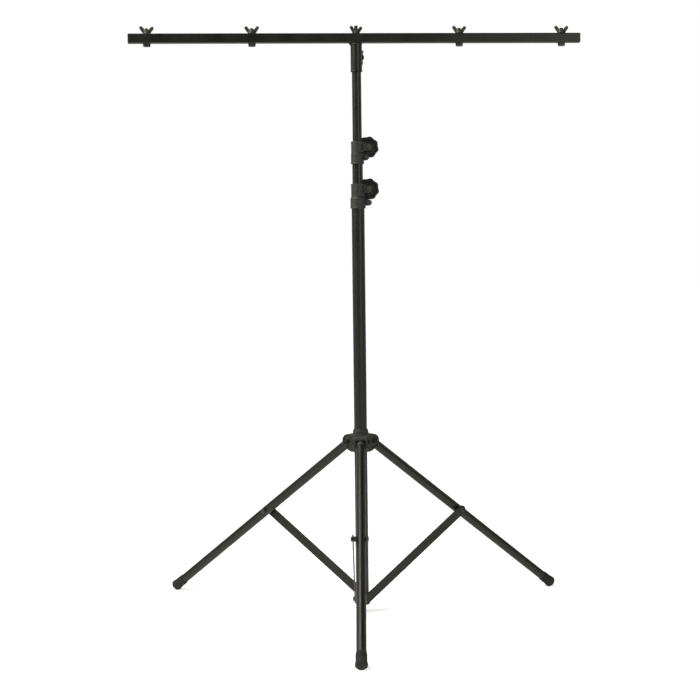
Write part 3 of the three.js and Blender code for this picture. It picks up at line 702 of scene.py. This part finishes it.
def hexagon(size, low, high, both_ends=False):
    """A hexagon on Z with cut corners at its top, or at both ends."""
    bm = six_sided(ACROSS_FLATS[size], low, high)
    ends = [vert for vert in bm.verts if both_ends or vert.co.z > (low + high) / 2]
    bmesh.ops.bevel(bm, geom=ends, offset=ACROSS_FLATS[size] * 0.09, segments=1, profile=0.5,
                    affect="VERTICES", material=-1)
    return soften(bm, 0.25)


def hung(head, level):
    """A head turned over, so that it hangs below this level."""
    return moved(head, turned("X", 180), shift(0, 0, level))


def rod(radius, low, high, edge=0.5):
    """A plain round rod on Z, with its rims softened."""
    return soften(cylinder(radius, low, high, 36), edge)


def threaded(radius, pitch, low, high, steps=24):
    """A threaded rod on Z with a cut tip."""
    root = radius - 0.6 * pitch
    tooth = [(radius, 0), (radius, pitch / 8), (root, pitch / 2), (radius, pitch * 7 / 8), (radius, pitch)]
    turns = math.ceil((high - low) / pitch) + 2
    bm = bmesh.new()
    corners = [bm.verts.new((across, 0, low - pitch * 1.5 + up)) for across, up in tooth]
    edges = [bm.edges.new(pair) for pair in zip(corners, corners[1:])]
    bmesh.ops.spin(bm, geom=corners + edges, cent=(0, 0, 0), axis=(0, 0, 1), dvec=(0, 0, pitch / steps),
                   angle=math.tau * turns, steps=steps * turns)
    bmesh.ops.remove_doubles(bm, verts=bm.verts, dist=0.001)
    cut_off(bm, (0, 0, low), (0, 0, -1))
    end = cut_off(bm, (0, 0, high - TIP), (0, 0, 1))
    bmesh.ops.recalc_face_normals(bm, faces=bm.faces)
    bmesh.ops.inset_region(bm, faces=end, thickness=TIP, depth=TIP)
    return bm


def nut_on_thread(size, thread_from, seat, beyond=1):
    """A nut on its seat and the thread through it, which ends beyond it."""
    top = seat + NUT_HEIGHT[size]
    return together(hexagon(size, seat, top, both_ends=True), threaded(*size, thread_from, top + beyond))


# %% [markdown]
# ## The star knobs
#
# A star knob is moulded with a lobed rim to grip. From behind, which is the side that faces the camera,
# it is hollow: a thin rim, a boss about the bolt, and ribs between them. So a lobed disc is made from a
# circle, its rims are rounded, and its back is inset and pushed in.

# %% Star knob
RIM_ROUND = 2.2
RIB_THICKNESS = 2


def lobed_disc(radius, lobes, lobe_depth, thickness):
    """A disc on Z from zero up, whose edge swings in between its lobes."""
    bm = bmesh.new()
    edge = bmesh.ops.create_circle(bm, cap_ends=True, radius=radius, segments=lobes * 12)
    for vert in edge["verts"]:
        swing = 1 - math.cos(lobes * math.atan2(vert.co.y, vert.co.x))
        vert.co.xy *= 1 - lobe_depth / 2 * swing / radius
    return soften(thickened(bm, thickness), RIM_ROUND, 3, 60)


def star_knob(radius, lobes, lobe_depth, thickness, rim, boss_radius, boss_height, hollow):
    """A knob on Z with its boss at zero, its hollow back towards the boss, and ribs in the hollow."""
    disc = lobed_disc(radius, lobes, lobe_depth, thickness)
    back = [min(disc.faces, key=lambda face: face.calc_center_median().z)]
    bmesh.ops.inset_region(disc, faces=back, thickness=rim)
    bmesh.ops.inset_region(disc, faces=back, thickness=1, depth=-hollow)
    disc = soften(moved(disc, shift(0, 0, boss_height)), 0.5, 2, 50)
    root, top = boss_height + hollow + 1, boss_height + thickness
    boss = soften(spun([(0, 0), (boss_radius - 1, 0), (boss_radius, root), (0, root)]), 0.6)
    cap = soften(spun([
        (0, top - 1), (boss_radius + 2, top - 1), (boss_radius + 2, top + 0.8), (boss_radius, top + 1.6),
        (0, top + 1.6),
    ]), 0.4)
    long = radius - lobe_depth - boss_radius
    out_to_rim = shift(boss_radius - 1 + long / 2, 0, boss_height + hollow / 2 + 1)
    ribs = [
        moved(block(long, RIB_THICKNESS, hollow), out_to_rim, turned("Z", 360 * rib / lobes))
        for rib in range(lobes)
    ]
    return together(disc, boss, cap, *ribs)


# %% The two clamps
KNOB_TURN = 15
FACING_BACK = turned("X", -90)


def add_clamp(label, body, **sizes):
    """A collar, its two bolts and its star knob."""
    foot = height(reach(f"{label}_clamp_collar", 2)[0])
    place_piece(f"moulded_{label}_collar", clamp_collar(**sizes), foot, "moulding", body,
                f"{label}_clamp_collar", weighted=False)
    bolt_reach, bolt_height = sizes["fixing_ear"][:2]
    fixing = moved(together(
        hung(hexagon(M6, 0, HEAD_HEIGHT[M6]), -EAR_FACE),
        nut_on_thread(M6, EAR_FACE, EAR_FACE, beyond=1.5),
    ), FACING_BACK, shift(bolt_reach, 0, bolt_height))
    place_piece(f"{label}_ear_bolt", fixing, foot, "black_steel", body, f"{label}_collar_bolt")
    knob_height = sizes["clamp_ear"][1]
    clamping = moved(together(
        hung(hexagon(M8, 0, HEAD_HEIGHT[M8]), -EAR_FACE),
        rod(M8[0], -EAR_FACE, EAR_FACE + 12),
    ), FACING_BACK, shift(KNOB_REACH, 0, knob_height))
    place_piece(f"{label}_knob_bolt", clamping, foot, "black_steel", body, f"{label}_clamp_bolt")
    knob = star_knob(radius=30, lobes=8, lobe_depth=2.4, thickness=14, rim=3.6, boss_radius=11,
                     boss_height=10.8, hollow=4)
    moved(knob, turned("Z", KNOB_TURN), FACING_BACK, shift(KNOB_REACH, EAR_FACE, knob_height))
    place_piece(f"{label}_star_knob", knob, foot, "knob", f"{label}_knob", f"{label}_knob")


# An ear is the reach and the height of its bolt, the radius of its round end and the height of its root
add_clamp(
    "lower", "lower_mast", bores=(LOWER_RADIUS + GAP, MIDDLE_RADIUS + GAP), radii=(20.4, 18.2), split=31,
    top=66.4, clamp_ear=(KNOB_REACH, 52.8, 9, 27), fixing_ear=(29.4, 15.7, 8, 20),
)
add_clamp(
    "upper", "middle_mast", bores=(MIDDLE_RADIUS + GAP, UPPER_RADIUS + GAP), radii=(17.6, 16.9),
    split=30.6, top=60.6, clamp_ear=(KNOB_REACH, 46.2, 9, 27), fixing_ear=(23.6, 17.7, 7.6, 20),
)

# %% [markdown]
# ## The cross bar
#
# The bar is square tube with rounded corners. A square face gets its corners from a vertex bevel, is
# inset by the wall, loses its middle, and is pulled out to the bar's length. The caps are moulded plugs
# whose heads are as wide as the bar.

# %% Square tube and caps
BAR_WALL = 1.5
BAR_CORNER = 2.4
CAP_PLUG = 15


def rounded_square(side, corner):
    """A flat square with rounded corners."""
    bm = bmesh.new()
    bmesh.ops.create_grid(bm, x_segments=1, y_segments=1, size=side / 2)
    bmesh.ops.bevel(bm, geom=bm.verts[:], offset=corner, segments=6, profile=0.5, affect="VERTICES",
                    material=-1)
    return bm


def square_tube(side, corner, wall, length):
    """A square tube along Z."""
    bm = rounded_square(side, corner)
    middle = bm.faces[:]
    bmesh.ops.inset_region(bm, faces=middle, thickness=wall, use_boundary=True, use_even_offset=True)
    bmesh.ops.delete(bm, geom=middle, context="FACES")
    return soften(thickened(bm, length), 0.25, 1, 60)


BAR_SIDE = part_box("cross_bar")[1][1] / MM * 2
BAR_FOOT, BAR_TOP = reach("cross_bar", 2)
BAR_AXIS = height((BAR_FOOT + BAR_TOP) / 2)
BAR_FROM, BAR_TO = reach("cross_bar", 0)
ALONG_X = turned("Y", 90)
square_bar = square_tube(BAR_SIDE, BAR_CORNER, BAR_WALL, BAR_TO - BAR_FROM)
moved(square_bar, ALONG_X, shift(BAR_FROM, 0, 0))
place_piece("square_bar", square_bar, BAR_AXIS, "paint", "t_bar", "cross_bar")

cap_thickness = reach("bar_cap_right", 0)[1] - BAR_TO - GAP
for side, half_turn in (("right", 0), ("left", 180)):
    head = soften(thickened(rounded_square(BAR_SIDE, BAR_CORNER), cap_thickness), 0.6, 3, 60)
    plug = thickened(rounded_square(BAR_SIDE - 2 * BAR_WALL - 2 * GAP, 1), CAP_PLUG)
    cap = moved(together(head, moved(plug, shift(0, 0, -CAP_PLUG))), ALONG_X, shift(BAR_TO + GAP, 0, 0),
                turned("Z", half_turn))
    place_piece(f"{side}_bar_plug", cap, BAR_AXIS, "moulding", "t_bar", f"bar_cap_{side}")

# %% [markdown]
# ## Lamp bolts and wing nuts
#
# Five M10 bolts stand up through the bar, each with its head and washer below and a wing nut above. A
# wing nut is cast: a cone for the thread and two wings, run together with round corners. It is made once
# and copied, and every copy is turned a little differently, as a hand leaves them.

# %% Wing nut
WING_TIP, TIP_RADIUS = Vector((15.6, 15.6)), 3.9
WING_ROOT, ROOT_RADIUS = Vector((7.6, 5.2)), 4.9
WING_THICKNESS = 4.2


def wing_head():
    """A wing nut on Z, standing on zero."""
    cone = spun([(0, 0), (9.6, 0), (10, 0.6), (10, 2.2), (9.2, 3.4), (8.6, 8.8), (7.6, 9.8), (0, 9.8)], 48)
    lean = math.degrees(math.atan2(*(WING_TIP - WING_ROOT).yx))
    outline = arc(WING_TIP, TIP_RADIUS, lean - 90, lean + 90)
    outline += arc(WING_ROOT, ROOT_RADIUS, lean + 90, lean + 270)
    wings = [
        moved(soften(plate(outline, WING_THICKNESS), 1.2), turned("Z", half_turn)) for half_turn in (0, 180)
    ]
    return moulded(together(cone, *wings), voxel=0.5, rounds=5)


# %% Bolts along the bar
WING_TURNS = (18, -5, 30, 11, 6)
WASHER_RADIUS, WASHER_THICKNESS = 10.5, 2
nut_shape = wing_head()
for number, nut_turn in enumerate(WING_TURNS, 1):
    bolt_foot, bolt_top = reach(f"bar_bolt_{number}", 2)
    head_top = bolt_foot + HEAD_HEIGHT[M10]
    place = shift(sum(reach(f"bar_bolt_{number}", 0)) / 2 * MM, 0, 0)
    washer = soften(cylinder(WASHER_RADIUS, 0, WASHER_THICKNESS), 0.3)
    bolt = together(
        hung(moved(hexagon(M10, 0, HEAD_HEIGHT[M10]), turned("Z", 30)), head_top),
        moved(washer, shift(0, 0, head_top)),
        threaded(*M10, BAR_TOP - 3, bolt_top),
        rod(M10[0], head_top, BAR_TOP - 2),
    )
    place_piece(f"lamp_bolt_{number}", bolt, place, "black_steel", "t_bar", f"bar_bolt_{number}")
    nut = moved(nut_shape.copy(), turned("Z", nut_turn), shift(0, 0, BAR_TOP + GAP))
    place_piece(f"cast_wing_nut_{number}", nut, place, "black_steel", f"wing_nut_{number}",
                f"wing_nut_{number}", weighted=False)

# %% [markdown]
# ## The socket under the bar
#
# A short tube is welded under the bar and slips over the mast, and a wing screw in a welded boss locks
# it. The weld is a ring of overlapping ripples, which a spun bead gives once its surface is pushed in
# and out around the ring. A small gusset stands beside the socket.

# %% Socket
SOCKET_WALL = 2.6
WELD_RIPPLES = 28
RIPPLE_HEIGHT, RIPPLE_SWELL = 0.35, 0.012
WELD_THICKNESS = 1.9
SCREW_DROP = 36
SCREW_TURN = 55
SCREW_SEAT = 22.2


def weld_bead(ring_radius, ring_height, thickness):
    """A rippled ring of weld on Z."""
    bead = spun(arc((ring_radius, ring_height), thickness, 0, 330, 11), WELD_RIPPLES * 8)
    for vert in bead.verts:
        ripple = math.sin(WELD_RIPPLES * math.atan2(vert.co.y, vert.co.x))
        vert.co.z -= RIPPLE_HEIGHT * ripple
        vert.co.xy *= 1 + RIPPLE_SWELL * ripple
    return bead


socket_foot, socket_top = reach("bar_socket", 2)
socket_bore = UPPER_RADIUS + GAP
socket_radius = socket_bore + SOCKET_WALL
socket_length = socket_top - socket_foot
sleeve = soften(spun([
    (socket_bore, 0), (socket_radius + 0.9, 0), (socket_radius + 0.9, 2), (socket_radius, 4),
    (socket_radius, socket_length), (socket_bore, socket_length),
]), 0.4)
boss = moved(rod(8, socket_bore + 1, socket_radius + 6), ALONG_X, shift(0, 0, socket_length - SCREW_DROP),
             turned("Z", SCREW_TURN))
gusset = soften(plate([
    (-socket_bore - 1, socket_length), (-socket_radius - 5.4, socket_length),
    (-socket_radius, socket_length - 7.5), (-socket_bore - 1, socket_length - 7.5),
], 4), 0.5)
weld = weld_bead(socket_radius - 0.8, socket_length - WELD_THICKNESS, WELD_THICKNESS)
place_piece("welded_socket", together(sleeve, boss, gusset, weld), height(socket_foot), "paint",
            "t_bar", "bar_socket")

# A screw has flatter wings than a nut, because no bolt comes up between them
screw = together(
    moved(wing_head(), Matrix.Diagonal((1, 1, 0.62, 1)), turned("Z", 4), shift(0, 0, SCREW_SEAT)),
    threaded(*M8, UPPER_RADIUS + GAP, SCREW_SEAT + 4),
)
screw_place = height(socket_top - SCREW_DROP)
place_piece("wing_screw", moved(screw, ALONG_X, turned("Z", SCREW_TURN)), screw_place, "black_steel",
            "socket_screw", "socket_screw")

# %% [markdown]
# ## The hub
#
# The hub is one nylon moulding that slides on the lower tube. Three forked lugs stand out from its
# sleeve, and a leg turns between the two ears of each. The lugs have flat roofs with a slope towards the
# legs. As on the collars, the solids are joined and cut first and then run into one skin.

# %% Leg frames
LEG_NAMES = ("front", "right", "left")
LEG_ANGLE = 37.3
LEG_RADIUS = 12.5
LEG_REACH = 760.8
STRUT_JOINT = 351.5
EAR_OF_LUG = 6
pivot_place = joints["leg_fold_front"]["pos_m"]
PIVOT_HEIGHT = pivot_place[2] / MM
PIVOT_RADIUS = math.hypot(*pivot_place[:2]) / MM
PIVOT = shift(PIVOT_RADIUS * MM, 0, PIVOT_HEIGHT * MM)


def leg_azimuth(name):
    """The direction of a leg from the mast, in degrees."""
    x, y, _ = joints[f"leg_fold_{name}"]["pos_m"]
    return math.degrees(math.atan2(y, x))


def leg_frame(name):
    """The frame of a leg: X away from the mast, Y to its left, with its origin on the mast's axis."""
    return turned("Z", leg_azimuth(name))


def leg_slope(name):
    """The frame along a leg: X down the tube, with its origin on the pivot."""
    return leg_frame(name) @ PIVOT @ turned("Y", LEG_ANGLE)


print(f"pivots {PIVOT_RADIUS:.1f} mm from the axis, {PIVOT_HEIGHT:.1f} mm up")

# %% Hub shape
TO_RIGHT = turned("X", 90)
HUB_TOP, HUB_DROP = 35.2, 27.3
HUB_BORE = LOWER_RADIUS + GAP
HUB_RADIUS = HUB_BORE + 3.55
BOSS_REACH = HUB_RADIUS + 21
LUG_END = PIVOT_RADIUS + 13.5
EYE_ROOM = 12.3
LUG_TOP = 20.7
LUG_ROUND = 16.5
LUG_HEEL = 12
LUG_SLOT = 26
CHEEK_RIM = 4
CHEEK_DEPTH = 2.4
CHEEK_SEAT = 8.6
HUB_KNOB_AZIMUTH = leg_azimuth("right") + 60


def lug():
    """The side of a lug, from the mast to its rounded end, with the pivot at height zero."""
    outline = [(0, -HUB_DROP), (HUB_RADIUS, -HUB_DROP), (LUG_END, -LUG_HEEL)]
    outline += arc((LUG_END - LUG_ROUND, LUG_TOP - LUG_ROUND), LUG_ROUND, 0, 90, 10)
    outline += [(0, LUG_TOP)]
    return plate(outline, LUG_SLOT + 2 * EAR_OF_LUG)


def lug_slot():
    """The room for the leg between the ears: square over its eye, and then along the leg."""
    fall = math.tan(math.radians(LEG_ANGLE))
    leg_top = (LEG_RADIUS + 1.2) / math.cos(math.radians(LEG_ANGLE))
    far = LUG_END + 3
    return plate([
        (HUB_RADIUS, -HUB_DROP - 3),
        (far, -HUB_DROP - 3),
        (far, leg_top - (far - PIVOT_RADIUS) * fall),
        (PIVOT_RADIUS + (leg_top - EYE_ROOM) / fall, EYE_ROOM),
        (HUB_RADIUS, EYE_ROOM),
    ], LUG_SLOT)


def cheek_pocket(side):
    """A shallow pocket in one cheek of a lug, round the seat of the pivot bolt. The side is 1 or -1."""
    outline = [(HUB_RADIUS + 2, -HUB_DROP + 6.5), (LUG_END - CHEEK_RIM, -LUG_HEEL + 2.5)]
    outline += arc((LUG_END - LUG_ROUND, LUG_TOP - LUG_ROUND), LUG_ROUND - CHEEK_RIM, 0, 90, 8)
    outline += [(HUB_RADIUS + 2, LUG_TOP - CHEEK_RIM)]
    seat = moved(rod(CHEEK_SEAT, -CHEEK_DEPTH - 1, CHEEK_DEPTH + 1), TO_RIGHT, shift(PIVOT_RADIUS, 0, 0))
    pocket = built(plate(outline, 2 * CHEEK_DEPTH), cut=[seat])
    return moved(pocket, shift(0, side * (LUG_SLOT / 2 + EAR_OF_LUG), 0))


def moulded_hub():
    """The hub about its pivots' height."""
    sleeve = spun([
        (HUB_BORE - 2, -HUB_DROP), (HUB_RADIUS, -HUB_DROP), (HUB_RADIUS, HUB_TOP - 7),
        (HUB_BORE + 1.6, HUB_TOP - 0.5), (HUB_BORE + 1, HUB_TOP), (HUB_BORE - 2, HUB_TOP),
    ])
    knob_boss = moved(spun([(0, HUB_BORE), (9.5, HUB_BORE), (9, BOSS_REACH), (0, BOSS_REACH)], 48),
                      ALONG_X, turned("Z", HUB_KNOB_AZIMUTH))
    lugs = [moved(lug(), leg_frame(name)) for name in LEG_NAMES]
    slots = [moved(lug_slot(), leg_frame(name)) for name in LEG_NAMES]
    bore = cylinder(HUB_BORE, -HUB_DROP - 3, HUB_TOP + 3)
    pockets = [moved(cheek_pocket(side), leg_frame(name)) for name in LEG_NAMES for side in (1, -1)]
    return moulded(built(sleeve, [knob_boss, *lugs], [bore, *slots, *pockets]), voxel=0.8, rounds=6)


HUB_PLACE = height(PIVOT_HEIGHT)
# The hub's darker nylon is painted shade for its lugs' shaded cheeks
place_piece("moulded_hub", moulded_hub(), HUB_PLACE, "moulding", "hub", "hub", finish=painted_shade_hub_nylon,
            weighted=False)

# %% Hub knob
hub_knob = star_knob(radius=18, lobes=6, lobe_depth=2.4, thickness=11, rim=3, boss_radius=8, boss_height=1,
                     hollow=6)
hub_knob = together(moved(hub_knob, shift(0, 0, BOSS_REACH + 1)), rod(M8[0], HUB_BORE, BOSS_REACH + 6))
moved(hub_knob, ALONG_X, turned("Z", HUB_KNOB_AZIMUTH))
place_piece("hub_star_knob", hub_knob, HUB_PLACE, "knob", "hub_knob", "hub_knob")

# %% [markdown]
# ## Legs, boots and struts
#
# The legs are drawn tube, and a rubber boot is pushed over each end. A boot is spun along its leg with
# three shallow grooves, laid on the slope of the leg, and cut flat by a plane where the floor presses
# it. The struts are flat steel strip with round ends.


# %% Round heads
def domed_head(radius, head_height):
    """A low domed head on Z from zero up."""
    edge = head_height * 0.35
    outline = [(0, 0), (radius, 0), (radius, edge)]
    outline += arc((radius * 0.55, edge), radius * 0.45, 0, 80, 5)[1:]
    return spun(outline + [(0, head_height * 1.02)], 36)


def socket_head(radius, head_height, key):
    """The same head with a six sided recess for a key."""
    recess = six_sided(key, head_height * 0.45, head_height * 1.45)
    return built(domed_head(radius, head_height), cut=[recess])


# %% Legs
LUG_FACE = LUG_SLOT / 2 + EAR_OF_LUG + GAP
EYE_RADIUS = 11.4
TUBE_START = 18
SPIGOT_END = 44
BOOT_BORE = LEG_RADIUS + GAP
BOOT_RADIUS = 14.3
BOOT_FLARE = 15.7
BOOT_LENGTH = 42
BOOT_FLOOR = LEG_REACH - 8
BOOT_RIM = LEG_REACH - 5
GROOVE = 0.7


def leg_eye():
    """The moulded eye of a leg along Z, with the pivot at zero: a round nose, a shoulder and a spigot."""
    spigot = LEG_RADIUS - SLIM_WALL - GAP
    outline = arc((0, 0), EYE_RADIUS, -90, 0, 12)
    outline += [(LEG_RADIUS - GAP, 3), (LEG_RADIUS - GAP, TUBE_START - 0.9)]
    outline += [(LEG_RADIUS - 0.9, TUBE_START - GAP), (spigot, TUBE_START - GAP)]
    return spun(outline + [(spigot, SPIGOT_END), (0, SPIGOT_END)])


def rubber_boot():
    """A boot along Z, bored for its tube."""
    top = LEG_REACH - BOOT_LENGTH
    outline = [(0, BOOT_FLOOR), (BOOT_BORE, BOOT_FLOOR), (BOOT_BORE, top), (BOOT_RADIUS - 0.7, top)]
    outline += [(BOOT_RADIUS - 0.2, top + 0.8), (BOOT_RADIUS - 0.1, top + 4), (BOOT_RADIUS, top + 4.6)]
    for groove in range(3):
        start = top + 7 + 5 * groove
        outline += [
            (BOOT_RADIUS, start), (BOOT_RADIUS - GROOVE, start + GROOVE),
            (BOOT_RADIUS - GROOVE, start + 2 * GROOVE), (BOOT_RADIUS, start + 3 * GROOVE),
        ]
    outline += [
        (BOOT_RADIUS, BOOT_RIM - 14), (BOOT_FLARE - 0.2, BOOT_RIM - 5), (BOOT_FLARE, BOOT_RIM - 4),
        (BOOT_FLARE, BOOT_RIM), (BOOT_FLARE - 0.5, BOOT_RIM + 0.9), (11.6, LEG_REACH - 0.3),
        (10.8, LEG_REACH), (0, LEG_REACH),
    ]
    return spun(outline)


# %% Leg bolts
SPACER_RADIUS, SPACER_REACH = 7, 18.7


def strut_pin():
    """The nut and the spacer of the bolt that holds a strut, with the leg's middle at zero."""
    spacer = rod(SPACER_RADIUS, -SPACER_REACH, -LEG_RADIUS + 0.4, 0.4)
    return moved(together(nut_on_thread(M8, LEG_RADIUS, LEG_RADIUS + GAP), spacer), FACING_BACK)


def pivot_bolt():
    """The bolt that a leg turns on, through its lug."""
    return moved(together(
        hung(domed_head(radius=7, head_height=3), -LUG_FACE),
        rod(M8[0], -LUG_FACE, LUG_FACE, 0.3),
        nut_on_thread(M8, LUG_FACE, LUG_FACE),
    ), FACING_BACK)


# %% The three legs
for name in LEG_NAMES:
    body = f"leg_{name}"
    slope = leg_slope(name)
    tube = moved(drawn_tube(LEG_RADIUS, SLIM_WALL, TUBE_START, BOOT_FLOOR - GAP), ALONG_X)
    place_piece(f"drawn_leg_{name}", tube, slope, "paint", body, f"leg_tube_{name}")
    eye = moved(leg_eye(), ALONG_X)
    place_piece(f"moulded_eye_{name}", eye, slope, "moulding", body, f"leg_eye_{name}")

    # The boot is carried to its place first, so that the floor's plane can cut it
    boot = moved(rubber_boot(), ALONG_X, Matrix.Scale(1 / MM, 4) @ slope @ Matrix.Scale(MM, 4))
    cut_off(boot, (0, 0, 0), (0, 0, -1))
    place_piece(f"rubber_boot_{name}", boot, height(0), "rubber", body, f"boot_{name}")

    pin = moved(strut_pin(), shift(STRUT_JOINT, 0, 0))
    place_piece(f"strut_nut_{name}", pin, slope, "black_steel", body, f"strut_pin_{name}")
    # The pivot bolts take the darker steel, which is painted shade for the cheeks that they sit in
    place_piece(f"pivot_bolt_{name}", pivot_bolt(), leg_frame(name) @ PIVOT, "black_steel", "hub",
                f"leg_pivot_bolt_{name}", finish=painted_shade_pivot_steel)

# %% Struts
STRUT_WIDTH = 24
STRUT_THICKNESS = 3
STRUT_MIDDLE = 20.5
STRUT_FOOT = joints["strut_fold_front"]["pos_m"][2] / MM
joint_out = PIVOT_RADIUS + STRUT_JOINT * math.cos(math.radians(LEG_ANGLE))
joint_up = PIVOT_HEIGHT - STRUT_JOINT * math.sin(math.radians(LEG_ANGLE)) - STRUT_FOOT
STRUT_LENGTH = math.hypot(joint_out, joint_up)
STRUT_ANGLE = math.degrees(math.atan2(joint_up, joint_out))
print(f"struts {STRUT_LENGTH:.1f} mm long, at {STRUT_ANGLE:.1f} degrees")

end_radius = STRUT_WIDTH / 2
head_seat = STRUT_MIDDLE + STRUT_THICKNESS / 2 + GAP
for name in LEG_NAMES:
    rise = leg_frame(name) @ height(STRUT_FOOT) @ turned("Y", -STRUT_ANGLE)
    outline = arc((0, 0), end_radius, 90, 270, 24) + arc((STRUT_LENGTH, 0), end_radius, -90, 90, 24)
    strip = moved(soften(plate(outline, STRUT_THICKNESS), 0.5, 2, 50), shift(0, -STRUT_MIDDLE, 0))
    place_piece(f"strip_strut_{name}", strip, rise, "paint", f"strut_{name}", f"strut_{name}")

    for end, along, body, node_name in (
        ("foot", 0, "lower_mast", f"strut_foot_screw_{name}"),
        ("head", STRUT_LENGTH, f"strut_{name}", f"strut_head_bolt_{name}"),
    ):
        head = moved(socket_head(6.5, head_height=4, key=4), shift(0, 0, head_seat))
        screw = moved(together(head, rod(M6[0], 8, head_seat + 1)), TO_RIGHT, shift(along, 0, 0))
        place_piece(f"strut_{end}_head_{name}", screw, rise, "black_steel", body, node_name)

# %% [markdown]
# ## The foot block
#
# A moulded plug closes the lower tube and carries the struts on three flats. It could be a block joined
# to a cylinder, but only a spun outline has its soft collar in one go. Each flat is then cut by a plane.

# %% Foot block
FOOT_FLAT = 18.7
FOOT_RADIUS = 20.5
block_foot, block_top = reach("foot_block", 2)
collar_top = reach("lower_tube", 2)[0] - GAP
spigot = LOWER_RADIUS - LOWER_WALL - GAP
foot_block = spun([
    (0, block_foot), (FOOT_RADIUS - 2.5, block_foot), (FOOT_RADIUS - 0.4, block_foot + 1.6),
    (FOOT_RADIUS, block_foot + 2.6), (FOOT_RADIUS, collar_top - 2.6), (FOOT_RADIUS - 0.4, collar_top - 1.6),
    (FOOT_RADIUS - 1.9, collar_top), (spigot, collar_top), (spigot, block_top), (0, block_top),
])
for name in LEG_NAMES:
    right = leg_frame(name) @ Vector((0, -1, 0))
    cut_off(foot_block, right * FOOT_FLAT, right)
place_piece("moulded_foot_block", soften(foot_block, 0.4), height(0), "moulding", "lower_mast",
            "foot_block")

# %% [markdown]
# ## The parts that stay plain
#
# Two guide bushes and the mast's top plug sit inside the tubes, where their plain solids are right as
# they are. They only need the finish of the slot that the frame's record gives them. The hidden parts
# get theirs in the same loop, which is simpler than picking out the three.

# %% Finish the carried-over parts
slot_of_node = {part["node"]: part["material_slot"] for part in frame["record"]["subparts"]}
for node_name, node in nodes.items():
    node.data.materials.clear()
    node.data.materials.append(FINISH_OF_SLOT[slot_of_node[node_name]])
print(len(nodes), "parts finished")
